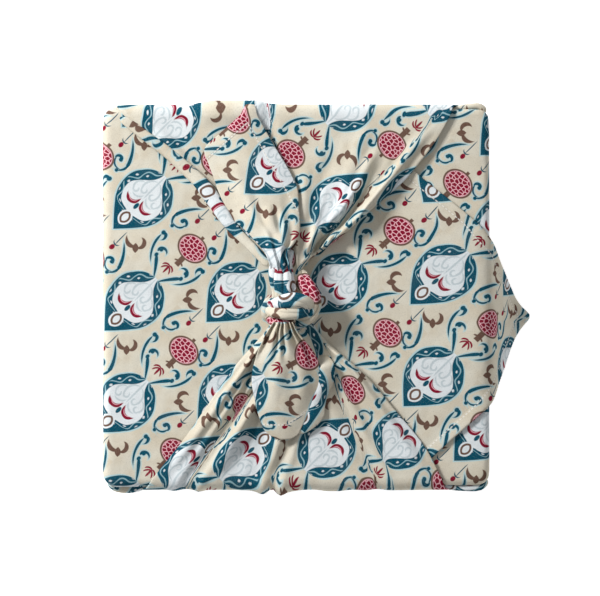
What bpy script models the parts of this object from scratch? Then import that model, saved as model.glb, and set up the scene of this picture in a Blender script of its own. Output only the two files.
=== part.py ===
"""A furoshiki wrap: one square cloth folded round a flat square parcel and tied on top.

Metres, +Z up. The origin is the middle of the flat base. +Y is the side whose corner of the cloth
ends in the upper tail, and the long tip of the side flap hangs past +X.
"""

import math

import bmesh
import bpy
from mathutils import Vector

# The parcel
HALF_WIDTH = 0.1240  # middle to the outer face along X
HALF_DEPTH = 0.1212  # middle to the cloth under the tied flaps along Y
TOP = 0.0550  # base to the top of the parcel, under the lapped side flap
CORNER = 0.0080  # radius of the upright corners in plan
EDGE = 0.0045  # radius of the rounded top edge
FOOT = 0.0030  # radius where the walls meet the base
WALL_SLACK = 0.0008  # how far the walls belly out at mid height
LAP = 0.0015  # one lapped layer of cloth, with the air under it
SHEET = 0.0015  # thickness of cloth that hangs free

# The tied flaps: each narrows from its edge of the parcel to the knot
KNOT_X = 0.0010
KNOT_Y = 0.0030
COLLAR = 0.0120  # radius of the raised hub under the knot
HUB_LIFT = 0.0120  # height of the hub above the lapped flap
HUB_FOOT = 0.0900  # share of the reach over which the hub falls away between the flaps
FLAP_EDGE_LIFT = 0.0015
FLAP_KNOT_LIFT = 0.0150
LIFT_FALL = 2.2  # how quickly a tied flap sinks away from the knot
BACK_FLAP = (48.5, 134.0)  # degrees from +X, seen from above
FRONT_FLAP = (231.5, 309.0)
LIP = 0.5  # half the angle over which the step beside a tied flap is made
BACK_FLAP_FOOT = (46.6, 134.2)  # the same borders at the foot of the wall, spread towards the corners
FRONT_FLAP_FOOT = (227.6, 312.0)

# Grid of the body
FLAP_SPOKE_STEP = 2.6
SIDE_SPOKE_STEP = 5.0
CORNER_STEPS = 3  # spokes round each upright corner
SPOKE_ROOM = 1.6  # least angle between a corner's spokes and the evenly spaced ones
TOP_RINGS = 16
EDGE_RINGS = 3
WALL_RINGS = 4

# Ridges (height above zero) and troughs (below zero) that run out from the knot.
# angle: where the fold runs; spread: half its width in degrees; start and end: shares of the reach.
FOLDS = [
    # angle, spread, height, start, end
    (51.5, 2.6, 0.0030, 0.00, 0.86),
    (56.5, 2.2, -0.0022, 0.04, 0.70),
    (61.5, 3.0, 0.0024, 0.05, 0.80),
    (68.5, 3.4, -0.0014, 0.05, 0.60),
    (76.0, 4.2, 0.0018, 0.05, 0.62),
    (93.0, 3.6, 0.0016, 0.00, 0.45),
    (126.0, 3.2, -0.0012, 0.05, 0.75),
    (131.0, 2.4, 0.0024, 0.00, 0.95),
    (234.5, 2.8, 0.0030, 0.00, 0.90),
    (241.0, 2.8, -0.0026, 0.08, 1.00),
    (247.5, 3.4, 0.0020, 0.05, 0.92),
    (256.0, 3.4, -0.0014, 0.30, 1.00),
    (263.0, 3.6, 0.0022, 0.45, 1.00),
    (272.0, 4.0, -0.0012, 0.45, 0.95),
    (298.5, 3.4, -0.0018, 0.10, 0.90),
    (305.0, 3.0, 0.0030, 0.00, 0.95),
]

# The tip of the lapped side flap, past the +X edge: one row for each section across it.
TIP_SECTIONS = [
    # x, y_front, y_back, z
    (0.1080, -0.0820, 0.0500, 0.0542),
    (0.1170, -0.0750, 0.0470, 0.0551),
    (0.1225, -0.0700, 0.0400, 0.0541),
    (0.1262, -0.0660, 0.0355, 0.0505),
    (0.1305, -0.0555, 0.0270, 0.0420),
    (0.1337, -0.0500, 0.0186, 0.0355),
    (0.1395, -0.0325, 0.0058, 0.0215),
    (0.1434, -0.0215, -0.0022, 0.0130),
    (0.1486, -0.0132, -0.0112, 0.0075),
]
TIP_STRIPS = 12

# Where the parcel's other side flap shows below the hem of the lapped one
HEM_CUTS = [
    # outline in plan, as x and y
    [(0.0748, 0.0800), (0.1022, 0.0592), (0.1183, 0.0463), (0.1400, 0.0240), (0.1400, 0.1400), (0.1270, 0.1400)],
    [(0.0900, -0.1040), (0.1247, -0.0694), (0.1400, -0.0500), (0.1400, -0.1400), (0.1160, -0.1400)],
]
HEM_CUT_TOP = 0.0700

# The free tails: one row for each section, from the knot outwards.
# z_lift is the height above the tied flap's own slope, swell the rise of the middle over the edges.
UPPER_TAIL = [
    # y, x_left, x_right, z_lift, swell
    (0.0130, -0.0150, -0.0030, 0.0070, 0.0010),
    (0.0206, -0.0174, -0.0032, 0.0068, 0.0030),
    (0.0270, -0.0212, -0.0010, 0.0060, 0.0040),
    (0.0347, -0.0257, 0.0010, 0.0052, 0.0050),
    (0.0418, -0.0322, 0.0017, 0.0044, 0.0052),
    (0.0495, -0.0411, 0.0019, 0.0040, 0.0050),
    (0.0572, -0.0457, 0.0013, 0.0036, 0.0045),
    (0.0688, -0.0508, 0.0006, 0.0034, 0.0040),
    (0.0765, -0.0534, -0.0026, 0.0032, 0.0035),
    (0.0849, -0.0566, -0.0071, 0.0032, 0.0030),
    (0.0952, -0.0592, -0.0135, 0.0032, 0.0025),
    (0.1042, -0.0502, -0.0187, 0.0034, 0.0020),
    (0.1125, -0.0410, -0.0234, 0.0036, 0.0014),
    (0.1195, -0.0330, -0.0272, 0.0040, 0.0006),
]
LOWER_TAIL = [
    # y, x_left, x_right, z_lift, swell
    (-0.0160, -0.0140, -0.0020, 0.0070, 0.0010),
    (-0.0225, -0.0175, 0.0019, 0.0064, 0.0030),
    (-0.0310, -0.0212, 0.0077, 0.0054, 0.0040),
    (-0.0386, -0.0251, 0.0129, 0.0046, 0.0046),
    (-0.0470, -0.0264, 0.0161, 0.0040, 0.0046),
    (-0.0560, -0.0270, 0.0180, 0.0036, 0.0044),
    (-0.0656, -0.0244, 0.0186, 0.0034, 0.0040),
    (-0.0730, -0.0222, 0.0182, 0.0034, 0.0034),
    (-0.0791, -0.0206, 0.0164, 0.0034, 0.0026),
    (-0.0848, -0.0190, 0.0070, 0.0034, 0.0014),
    (-0.0884, -0.0110, -0.0070, 0.0034, 0.0004),
]
TAIL_STRIPS = 12
TAIL_PLEATS = 3.0  # waves across a tail where it leaves the knot
PLEAT_HEIGHT = 0.0012

# The knot: each bundle of gathered cloth is a round roll along a few points.
BUNDLES = {
    # x, y, z above the lapped flap, radius
    "wrap": [
        (-0.0150, -0.0060, 0.0080, 0.0050),
        (-0.0110, -0.0070, 0.0170, 0.0062),
        (0.0010, -0.0078, 0.0215, 0.0066),
        (0.0120, -0.0070, 0.0180, 0.0062),
        (0.0155, -0.0040, 0.0090, 0.0050),
    ],
    "upper_neck": [
        (-0.0040, -0.0040, 0.0120, 0.0060),
        (-0.0070, 0.0060, 0.0185, 0.0066),
        (-0.0085, 0.0150, 0.0175, 0.0062),
        (-0.0095, 0.0220, 0.0150, 0.0050),
    ],
    "right_lobe": [
        (0.0020, 0.0160, 0.0110, 0.0050),
        (0.0085, 0.0105, 0.0155, 0.0064),
        (0.0122, 0.0020, 0.0150, 0.0066),
        (0.0115, -0.0100, 0.0110, 0.0058),
        (0.0100, -0.0180, 0.0080, 0.0040),
    ],
    "lower_neck": [
        (-0.0060, -0.0040, 0.0110, 0.0056),
        (-0.0080, -0.0135, 0.0165, 0.0060),
        (-0.0085, -0.0205, 0.0150, 0.0050),
        (-0.0080, -0.0260, 0.0125, 0.0040),
    ],
    "left_loop": [
        (-0.0120, 0.0010, 0.0070, 0.0030),
        (-0.0168, -0.0060, 0.0105, 0.0036),
        (-0.0130, -0.0140, 0.0080, 0.0030),
    ],
}
BUNDLE_SIDES = 3
BUNDLE_STEPS = 4

CLOTH_COLOUR = (0.71, 0.62, 0.49, 1.0)
CLOTH_ROUGHNESS = 0.85


def clear_scene():
    for obj in list(bpy.data.objects):
        bpy.data.objects.remove(obj, do_unlink=True)


def new_collection(name, shown):
    collection = bpy.data.collections.new(name)
    collection.hide_render = not shown
    bpy.context.scene.collection.children.link(collection)
    return collection


def cloth_material():
    material = bpy.data.materials.new("printed_cotton")
    material.use_nodes = True
    shader = material.node_tree.nodes["Principled BSDF"]
    shader.inputs["Base Color"].default_value = CLOTH_COLOUR
    shader.inputs["Roughness"].default_value = CLOTH_ROUGHNESS
    shader.inputs["Metallic"].default_value = 0.0
    return material


def object_from(name, mesh_data, collection):
    mesh = bpy.data.meshes.new(name)
    mesh_data.to_mesh(mesh)
    mesh_data.free()
    obj = bpy.data.objects.new(name, mesh)
    collection.objects.link(obj)
    return obj


def soft_bump(distance, spread):
    """1 in the middle of a fold, falling smoothly to 0 at its spread."""
    share = abs(distance) / spread
    return (1 + math.cos(math.pi * share)) / 2 if share < 1 else 0.0


def flap_at(angle):
    for first, last in (BACK_FLAP, FRONT_FLAP):
        if first < angle < last:
            return first, last
    return None


def plan_reach(angle):
    """Distance from the knot to the parcel's outline, which is a rectangle with round corners."""
    dx = math.cos(math.radians(angle))
    dy = math.sin(math.radians(angle))
    side_x = math.copysign(HALF_WIDTH, dx)
    side_y = math.copysign(HALF_DEPTH, dy)
    to_x = (side_x - KNOT_X) / dx if abs(dx) > 1e-9 else math.inf
    to_y = (side_y - KNOT_Y) / dy if abs(dy) > 1e-9 else math.inf
    reach = min(to_x, to_y)
    centre_x = math.copysign(HALF_WIDTH - CORNER, dx)
    centre_y = math.copysign(HALF_DEPTH - CORNER, dy)
    past_x = abs(KNOT_X + reach * dx) > HALF_WIDTH - CORNER
    past_y = abs(KNOT_Y + reach * dy) > HALF_DEPTH - CORNER
    if past_x and past_y:
        along = (centre_x - KNOT_X) * dx + (centre_y - KNOT_Y) * dy
        off = (centre_x - KNOT_X) * dy - (centre_y - KNOT_Y) * dx
        if abs(off) < CORNER:
            reach = along + math.sqrt(CORNER * CORNER - off * off)
    return reach


def tied_lift(share):
    """Rise of a tied flap above the lapped one: share is 0 at the knot and 1 at the parcel's edge."""
    return FLAP_EDGE_LIFT + (FLAP_KNOT_LIFT - FLAP_EDGE_LIFT) * max(1 - share, 0) ** LIFT_FALL


def fold_height(angle, share):
    height = 0.0
    for fold_angle, spread, rise, start, end in FOLDS:
        ends = min((share - start) / 0.12 + 0.25, (end - share) / 0.15 + 0.25, 1.0)
        height += rise * soft_bump(angle - fold_angle, spread) * max(ends, 0.0)
    return height


def top_height(angle, share):
    if flap_at(angle):
        return TOP + LAP + tied_lift(share) + fold_height(angle, share)
    fall = max(1 - share / HUB_FOOT, 0)
    return TOP + LAP + HUB_LIFT * fall * fall


def corner_directions():
    """Directions from the knot to points round the four upright corners, in order from +X."""
    found = []
    for side_x, side_y in ((1, 1), (-1, 1), (-1, -1), (1, -1)):
        for step in range(CORNER_STEPS + 1):
            turn = math.pi / 2 * step / CORNER_STEPS
            x = side_x * (HALF_WIDTH - CORNER + CORNER * math.cos(turn)) - KNOT_X
            y = side_y * (HALF_DEPTH - CORNER + CORNER * math.sin(turn)) - KNOT_Y
            found.append(math.degrees(math.atan2(y, x)) % 360)
    return sorted(found)


def spoke_angles():
    """Directions from the knot: close together on the tied flaps, and a few round each corner."""
    borders = [*BACK_FLAP, *FRONT_FLAP, BACK_FLAP[0] + 360]
    corners = corner_directions()
    corners += [angle + 360 for angle in corners]
    angles = []
    for index, (border, next_border) in enumerate(zip(borders, borders[1:])):
        first = border + LIP
        last = next_border - LIP
        beside_flap = index % 2 == 1
        count = round((last - first) / (SIDE_SPOKE_STEP if beside_flap else FLAP_SPOKE_STEP))
        even = [first + (last - first) * i / count for i in range(count + 1)]
        if beside_flap:
            own = [a for a in corners if first + LIP < a < last - LIP]
            inner = [a for a in even[1:-1] if all(abs(a - b) > SPOKE_ROOM for b in own)]
            even = sorted([first, *inner, *own, last])
        angles += even
    return angles


def splayed(angle, share):
    """The direction of a spoke on the wall: a tied flap spreads to the corners towards its foot."""
    corners = corner_directions()
    ends = [corners[i] for i in range(len(corners)) if i % (CORNER_STEPS + 1) in (0, CORNER_STEPS)]
    ends = [end for end in ends if not flap_at(end)]
    at_top = [*ends, *BACK_FLAP, *FRONT_FLAP]
    at_foot = [*ends, *BACK_FLAP_FOOT, *FRONT_FLAP_FOOT]
    pairs = sorted(zip(at_top, at_foot))
    pairs += [(top + 360, foot + 360) for top, foot in pairs]
    for (top, foot), (next_top, next_foot) in zip(pairs, pairs[1:]):
        if top <= angle <= next_top:
            target = foot + (next_foot - foot) * (angle - top) / (next_top - top)
            return angle + (target - angle) * share
    return angle


def ring_points(angles, ring):
    """One closed section of the body. Sections run from the knot outwards and down to the base."""
    points = []
    for angle in angles:
        outer = LAP if flap_at(angle % 360) else 0.0
        if ring <= TOP_RINGS:
            share = ring / TOP_RINGS
            reach = COLLAR + share * (plan_reach(angle) + outer - EDGE - COLLAR)
            height = top_height(angle % 360, share) if ring else TOP + LAP + HUB_LIFT
            heading = angle
        elif ring <= TOP_RINGS + EDGE_RINGS:
            turn = math.pi / 2 * (ring - TOP_RINGS) / EDGE_RINGS
            reach = plan_reach(angle) + outer - EDGE * (1 - math.sin(turn))
            height = top_height(angle % 360, 1.0) - EDGE * (1 - math.cos(turn))
            heading = angle
        else:
            share = (ring - TOP_RINGS - EDGE_RINGS) / WALL_RINGS
            start = top_height(angle % 360, 1.0) - EDGE
            heading = splayed(angle, share)
            reach = plan_reach(heading) + outer + WALL_SLACK * math.sin(math.pi * share)
            height = start + (FOOT - start) * share
        x = KNOT_X + reach * math.cos(math.radians(heading))
        y = KNOT_Y + reach * math.sin(math.radians(heading))
        points.append(Vector((x, y, height)))
    return points


def body(collection):
    """The wrapped parcel: a loft of closed sections, finished by a flat base."""
    mesh_data = bmesh.new()
    angles = spoke_angles()
    last = TOP_RINGS + EDGE_RINGS + WALL_RINGS
    rings = [ring_points(angles, ring) for ring in range(last + 1)]
    base = [Vector((p.x * (1 - FOOT / HALF_WIDTH), p.y * (1 - FOOT / HALF_DEPTH), 0.0)) for p in rings[-1]]
    loft(mesh_data, [*rings, base])
    return object_from("furoshiki_cloth", mesh_data, collection)


def loft(mesh_data, rings):
    """Skins closed sections with an equal number of points, and caps the first and the last."""
    loops = [[mesh_data.verts.new(point) for point in ring] for ring in rings]
    for upper, lower in zip(loops, loops[1:]):
        for index in range(len(upper)):
            after = (index + 1) % len(upper)
            mesh_data.faces.new((upper[index], lower[index], lower[after], upper[after]))
    mesh_data.faces.new(loops[0])
    mesh_data.faces.new(reversed(loops[-1]))
    bmesh.ops.recalc_face_normals(mesh_data, faces=mesh_data.faces)


def grid_through(rows):
    """An open grid whose points are the given rows of points."""
    mesh_data = bmesh.new()
    across = len(rows[0])
    grid = bmesh.ops.create_grid(mesh_data, x_segments=across - 1, y_segments=len(rows) - 1, size=1.0)
    points = [point for row in rows for point in row]
    for vertex, point in zip(grid["verts"], points):
        vertex.co = point
    return mesh_data


def tip(collection):
    """The corner of the lapped flap, which leaves the top of the parcel and hangs past its edge."""
    rows = []
    for x, y_front, y_back, z in TIP_SECTIONS:
        row = []
        for strip in range(TIP_STRIPS + 1):
            y = y_front + (y_back - y_front) * strip / TIP_STRIPS
            row.append(Vector((x, y, z)))
        rows.append(row)
    columns = [[row[strip] for row in rows] for strip in range(TIP_STRIPS + 1)]
    obj = object_from("tip", grid_through(columns), collection)
    solidify = obj.modifiers.new("thickness", "SOLIDIFY")
    solidify.thickness = SHEET
    solidify.offset = -1.0
    return obj


def tail(name, sections, collection):
    """A free end of the cloth, which fans out from the knot over the tied flap."""
    rows = []
    for index, (y, x_left, x_right, z_lift, swell) in enumerate(sections):
        row = []
        fade = max(1 - index / (len(sections) * 0.6), 0)
        for strip in range(TAIL_STRIPS + 1):
            across = strip / TAIL_STRIPS
            x = x_left + (x_right - x_left) * across
            angle = math.degrees(math.atan2(y - KNOT_Y, x - KNOT_X)) % 360
            distance = math.hypot(x - KNOT_X, y - KNOT_Y)
            share = (distance - COLLAR) / (plan_reach(angle) - EDGE - COLLAR)
            pleat = PLEAT_HEIGHT * fade * math.cos(2 * math.pi * TAIL_PLEATS * across)
            crown = swell * math.sin(math.pi * across)
            height = TOP + LAP + tied_lift(share) + z_lift + crown + pleat
            row.append(Vector((x, y, height)))
        rows.append(row)
    if sections[0][0] > sections[-1][0]:
        rows.reverse()
    mesh_data = grid_through(rows)
    lower = bmesh.ops.extrude_face_region(mesh_data, geom=list(mesh_data.faces), use_keep_orig=True)
    moved = [item for item in lower["geom"] if isinstance(item, bmesh.types.BMVert)]
    bmesh.ops.translate(mesh_data, verts=moved, vec=(0, 0, -SHEET))
    bmesh.ops.recalc_face_normals(mesh_data, faces=mesh_data.faces)
    return object_from(name, mesh_data, collection)


def bundle(name, points, collection):
    """A roll of gathered cloth in the knot, made a mesh so that it can be joined."""
    curve = bpy.data.curves.new(name, "CURVE")
    curve.dimensions = "3D"
    curve.resolution_u = BUNDLE_STEPS
    curve.bevel_depth = 1.0
    curve.bevel_resolution = BUNDLE_SIDES
    curve.use_fill_caps = True
    spline = curve.splines.new("BEZIER")
    spline.bezier_points.add(len(points) - 1)
    for bezier, (x, y, z, radius) in zip(spline.bezier_points, points):
        bezier.co = (x, y, TOP + LAP + z)
        bezier.radius = radius
        bezier.handle_left_type = "AUTO"
        bezier.handle_right_type = "AUTO"
    guide = bpy.data.objects.new(name + "_route", curve)
    collection.objects.link(guide)
    bpy.context.view_layer.update()
    graph = bpy.context.evaluated_depsgraph_get()
    mesh = bpy.data.meshes.new_from_object(guide.evaluated_get(graph))
    mesh_data = bmesh.new()
    mesh_data.from_mesh(mesh)
    bmesh.ops.remove_doubles(mesh_data, verts=mesh_data.verts, dist=1e-6)
    bmesh.ops.recalc_face_normals(mesh_data, faces=mesh_data.faces)
    obj = object_from(name, mesh_data, collection)
    bpy.data.objects.remove(guide, do_unlink=True)
    bpy.data.meshes.remove(mesh)
    return obj


def hem_cutter(index, outline, collection):
    """A prism that lowers the top by one layer outside the hem of the lapped flap."""
    mesh_data = bmesh.new()
    floor = mesh_data.faces.new([mesh_data.verts.new((x, y, TOP)) for x, y in outline])
    raised = bmesh.ops.extrude_face_region(mesh_data, geom=[floor])
    lifted = [item for item in raised["geom"] if isinstance(item, bmesh.types.BMVert)]
    bmesh.ops.translate(mesh_data, verts=lifted, vec=(0, 0, HEM_CUT_TOP - TOP))
    bmesh.ops.recalc_face_normals(mesh_data, faces=mesh_data.faces)
    return object_from(f"hem_cutter_{index}", mesh_data, collection)


def combine(target, other, operation):
    boolean = target.modifiers.new(f"{operation.lower()}_{other.name}", "BOOLEAN")
    boolean.object = other
    boolean.operation = operation
    boolean.solver = "EXACT"
    other.hide_render = True
    other.display_type = "WIRE"


def main():
    clear_scene()
    shown = new_collection("furoshiki_wrap", True)
    helpers = new_collection("cutters_and_joined_shapes", False)
    cloth = body(shown)
    cloth.data.materials.append(cloth_material())
    for index, outline in enumerate(HEM_CUTS):
        combine(cloth, hem_cutter(index, outline, helpers), "DIFFERENCE")
    combine(cloth, tip(helpers), "UNION")
    for name, points in BUNDLES.items():
        combine(cloth, bundle(name, points, helpers), "UNION")
    combine(cloth, tail("upper_tail", UPPER_TAIL, helpers), "UNION")
    combine(cloth, tail("lower_tail", LOWER_TAIL, helpers), "UNION")
    cloth.data.shade_smooth()
    cloth.data.set_sharp_from_angle(angle=math.radians(40))


main()
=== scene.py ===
"""A furoshiki wrap: one printed cotton square folded round a flat square parcel and tied on top.

Metres, +Z up, the origin in the middle of the flat base. Places on the cloth itself are (s, t) in
metres from the middle of the flat square, whose corners are at s = +-REACH and t = +-REACH.
"""

import logging
import math
from collections.abc import Sequence
from dataclasses import dataclass, field
from enum import Enum
from typing import Any, Protocol

import bmesh
import bpy
from mathutils import Matrix, Vector

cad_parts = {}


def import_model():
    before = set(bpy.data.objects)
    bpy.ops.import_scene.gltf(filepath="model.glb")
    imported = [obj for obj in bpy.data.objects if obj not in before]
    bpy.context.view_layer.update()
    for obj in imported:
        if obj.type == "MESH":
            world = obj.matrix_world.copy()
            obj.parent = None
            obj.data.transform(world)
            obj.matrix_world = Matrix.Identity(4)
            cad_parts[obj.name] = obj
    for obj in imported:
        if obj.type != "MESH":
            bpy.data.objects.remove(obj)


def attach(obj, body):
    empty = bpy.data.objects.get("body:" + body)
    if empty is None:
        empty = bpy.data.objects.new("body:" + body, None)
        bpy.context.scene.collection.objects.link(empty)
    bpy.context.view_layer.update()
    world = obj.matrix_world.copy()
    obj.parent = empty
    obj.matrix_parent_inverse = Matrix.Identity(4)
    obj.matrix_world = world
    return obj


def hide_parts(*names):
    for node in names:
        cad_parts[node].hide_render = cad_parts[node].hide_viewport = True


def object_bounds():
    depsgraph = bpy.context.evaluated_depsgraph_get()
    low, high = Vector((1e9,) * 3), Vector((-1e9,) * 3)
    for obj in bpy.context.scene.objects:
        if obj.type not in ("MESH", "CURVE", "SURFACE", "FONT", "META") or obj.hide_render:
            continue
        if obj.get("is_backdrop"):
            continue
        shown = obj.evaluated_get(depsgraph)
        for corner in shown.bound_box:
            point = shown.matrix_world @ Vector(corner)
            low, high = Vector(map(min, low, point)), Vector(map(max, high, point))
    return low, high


Table = Sequence[tuple[float, ...]]
Place = tuple[float, float]
Rows = tuple[tuple[float, ...], ...]
Knit = tuple[Vector, Place, Place]  # in space, on the flat cloth, and along and inside its hem

log = logging.getLogger("furoshiki")

CLOTH_SIDE = 0.70  # edge of the flat square
REACH = CLOTH_SIDE / math.sqrt(2)  # middle of the cloth to each of its corners
THICKNESS = 0.0005


def smooth(low: float, high: float, value: float) -> float:
    """Eases from 0 at low to 1 at high.

    Args:
        low: Where the rise starts.
        high: Where it ends.
        value: The place between them.

    Returns:
        The share of the rise, from 0 to 1.
    """
    share = min(max((value - low) / (high - low), 0.0), 1.0)  # low may be above high
    return share * share * (3 - 2 * share)


def reading(table: Table, at: float) -> float:
    """Reads a smooth curve through a short table.

    Args:
        table: Pairs of place and value, with rising places.
        at: The place to read.

    Returns:
        The value there, held beyond both ends.
    """
    if at <= table[0][0]:
        return table[0][1]
    if at >= table[-1][0]:
        return table[-1][1]
    index = 0
    while table[index + 1][0] < at:
        index += 1
    (x0, y0), (x1, y1) = table[index], table[index + 1]
    before = table[index - 1] if index else table[index]
    after = table[min(index + 2, len(table) - 1)]
    span = x1 - x0
    slope0 = (y1 - before[1]) / (x1 - before[0]) * span
    slope1 = (after[1] - y0) / (after[0] - x0) * span
    u = (at - x0) / span
    return (
        (2 * u**3 - 3 * u**2 + 1) * y0
        + (u**3 - 2 * u**2 + u) * slope0
        + (3 * u**2 - 2 * u**3) * y1
        + (u**3 - u**2) * slope1
    )


def steps(stops: Sequence[tuple[float, int]]) -> list[float]:
    """Spaces grid lines.

    Args:
        stops: Each place, and how many cells lead up to it from the one before.

    Returns:
        The places of all lines.
    """
    lines = [stops[0][0]]
    for (start, _), (end, cells) in zip(stops, stops[1:]):
        lines += [start + (end - start) * (i + 1) / cells for i in range(cells)]
    return lines


def metres(*rows: tuple[float, ...]) -> Rows:
    """A table given in millimetres, in metres."""
    return tuple(tuple(value / 1000 for value in row) for row in rows)


def rotated(x: float, y: float, degrees: float, origin: Place) -> Place:
    """The place (x, y) turned about zero and moved to an origin."""
    cos, sin = math.cos(math.radians(degrees)), math.sin(math.radians(degrees))
    return x * cos - y * sin + origin[0], x * sin + y * cos + origin[1]


def hem_place(s: float, t: float) -> Place:
    """How far along the nearest hem a place on the cloth lies, and how far inside it."""
    half = math.sqrt(0.5)
    return (abs(s) - abs(t)) * half, (REACH - abs(s) - abs(t)) * half


# ---- Surfaces ----


@dataclass(frozen=True)
class Parcel:
    """The rounded box that the cloth lies on."""

    half_width: float = 0.1240
    half_depth: float = 0.1212
    top: float = 0.0550
    corner: float = 0.0080
    edge: float = 0.0045
    foot: float = 0.0030
    slack: float = 0.0008
    lap: float = 0.0015

    @property
    def bend(self) -> float:
        """Length of cloth that goes round the top edge."""
        return self.edge * math.pi / 2

    @property
    def wall(self) -> float:
        """Height of the upright part of a wall."""
        return self.top - self.edge - self.foot

    def place(self, x: float, y: float, lift: float) -> Vector:
        """Drapes a point of a flat sheet over the parcel.

        Args:
            x: Place in plan, which runs on past the edges down the walls.
            y: The same along Y.
            lift: Height above the parcel's own surface.

        Returns:
            The point in space.
        """
        core_x = min(max(x, self.corner - self.half_width), self.half_width - self.corner)
        core_y = min(max(y, self.corner - self.half_depth), self.half_depth - self.corner)
        off = math.hypot(x - core_x, y - core_y)
        inner = self.corner - self.edge
        if off <= inner:
            return Vector((x, y, self.top + lift))
        nx, ny = (x - core_x) / off, (y - core_y) / off
        run = off - inner
        if run < self.bend:
            turn = run / self.edge
            out = inner + (self.edge + lift) * math.sin(turn)
            height = self.top - self.edge + (self.edge + lift) * math.cos(turn)
        elif run < self.bend + self.wall:
            down = run - self.bend
            out = inner + self.edge + lift + self.slack * math.sin(math.pi * down / self.wall)
            height = self.top - self.edge - down
        else:
            turn = min((run - self.bend - self.wall) / self.foot, math.pi / 2)
            out = inner + self.edge + lift - (self.foot + lift) * (1 - math.cos(turn))
            height = self.foot - (self.foot - 0.0004) * math.sin(turn)
            out -= max(run - self.bend - self.wall - self.foot * math.pi / 2, 0.0)
        return Vector((core_x + nx * out, core_y + ny * out, height))


@dataclass(frozen=True)
class Knot:
    """Where the two gathered corners meet, and how they rise to it."""

    x: float = 0.0010
    y: float = 0.0030
    collar: float = 0.0120
    edge_lift: float = 0.0015
    rise: float = 0.0150
    fall: float = 2.2

    def share(self, parcel: Parcel, x: float, y: float) -> float:
        """How far out a point lies, from 0 at the knot to 1 at the parcel's edge.

        Args:
            parcel: What is wrapped.
            x: Place in plan.
            y: Place in plan.

        Returns:
            0 at the knot, and 1 at the edge.
        """
        dx, dy = x - self.x, y - self.y
        distance = math.hypot(dx, dy)
        if distance < 1e-9:
            return 0.0
        cx, cy = dx / distance, dy / distance
        to_x = (math.copysign(parcel.half_width, cx) - self.x) / cx if abs(cx) > 1e-9 else math.inf
        to_y = (math.copysign(parcel.half_depth, cy) - self.y) / cy if abs(cy) > 1e-9 else math.inf
        reach = min(to_x, to_y) - parcel.edge
        return min(max((distance - self.collar) / (reach - self.collar), 0.0), 1.0)

    def lift(self, parcel: Parcel, x: float, y: float) -> float:
        """Height of a tied flap above the lapped one."""
        share = self.share(parcel, x, y)
        return self.edge_lift + (self.rise - self.edge_lift) * (1 - share) ** self.fall


@dataclass(frozen=True)
class Line:
    """A straight line in plan."""

    x0: float
    y0: float
    x1: float
    y1: float

    def place(self, x: float, y: float) -> tuple[float, float, float]:
        """Where a point lies beside the line.

        Args:
            x: Place in plan.
            y: Place in plan.

        Returns:
            The distance to the right of the line, that along it, and the line's length.
        """
        dx, dy = self.x1 - self.x0, self.y1 - self.y0
        length = math.hypot(dx, dy)
        off = ((x - self.x0) * dy - (y - self.y0) * dx) / length
        return off, ((x - self.x0) * dx + (y - self.y0) * dy) / length, length


@dataclass(frozen=True)
class Crease(Line):
    """A soft ridge, or a trough where rise is below zero, along a straight line in plan."""

    spread: float
    rise: float

    def height(self, x: float, y: float) -> float:
        """Its height at a point in plan.

        Args:
            x: Place in plan.
            y: Place in plan.

        Returns:
            The height there.
        """
        off, along, length = self.place(x, y)
        off = abs(off)
        ends = min(along, length - along) / min(length * 0.4, 0.02)
        if off >= self.spread or ends <= 0:
            return 0.0
        return self.rise * (1 + math.cos(math.pi * off / self.spread)) / 2 * smooth(0, 1, ends)


@dataclass(frozen=True)
class Tuck(Line):
    """A deep fold along a line in plan, which hides some of the cloth between its lips."""

    depth: float
    spread: float
    take: float  # cloth hidden in it, added to s on the left of the line
    lip: float = 0.0  # how far the cloth rises beside it
    end_depth: float = -1.0  # depth at the far end, where it isn't the same

    def height(self, x: float, y: float) -> float:
        """Its height at a point in plan: a groove with a raised lip on each side.

        Args:
            x: Place in plan.
            y: Place in plan.

        Returns:
            The height there.
        """
        off, along, length = self.place(x, y)
        along /= length
        here = smooth(-0.08, 0.12, along) * smooth(1.12, 0.92, along)
        near = off / self.spread
        depth = self.depth
        if self.end_depth >= 0:
            depth += (self.end_depth - self.depth) * min(max(along, 0.0), 1.0)
        groove = -depth * math.exp(-near * near * 2.0)
        lip = self.lip * math.exp(-((abs(near) - 1.5) ** 2) * 1.6)
        return (groove + lip) * here

    def taken(self, x: float, y: float) -> float:
        """How much s has grown at a point through the cloth hidden in the fold."""
        off = self.place(x, y)[0] * (1 if self.y1 > self.y0 else -1)
        return self.take * smooth(self.spread * 0.45, -self.spread * 0.45, off)


@dataclass(frozen=True)
class Pleat:
    """A ridge or trough that runs out from the knot."""

    angle: float  # degrees from +X
    spread: float  # half its width in degrees
    rise: float
    start: float  # shares of the way to the parcel's edge
    end: float

    def height(self, angle: float, share: float) -> float:
        """Its height in a direction from the knot and at a share of the way out.

        Args:
            angle: Direction from the knot, in degrees.
            share: Share of the way to the parcel's edge.

        Returns:
            The height there.
        """
        off = abs(angle - self.angle) / self.spread
        ends = min((share - self.start) / 0.12 + 0.25, (self.end - share) / 0.15 + 0.25, 1.0)
        if off >= 1 or ends <= 0:
            return 0.0
        return self.rise * (1 + math.cos(math.pi * off)) / 2 * ends


def ridges(*rows: tuple[float, ...]) -> tuple[Crease, ...]:
    """Creases from rows of x0, y0, x1, y1, spread and rise, in millimetres."""
    return tuple(Crease(*row) for row in metres(*rows))


def grooves(*rows: tuple[float, ...]) -> tuple[Tuck, ...]:
    """Tucks from rows of x0, y0, x1, y1, depth, spread, take, lip and end depth, in millimetres."""
    return tuple(Tuck(*row) for row in metres(*rows))


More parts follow.
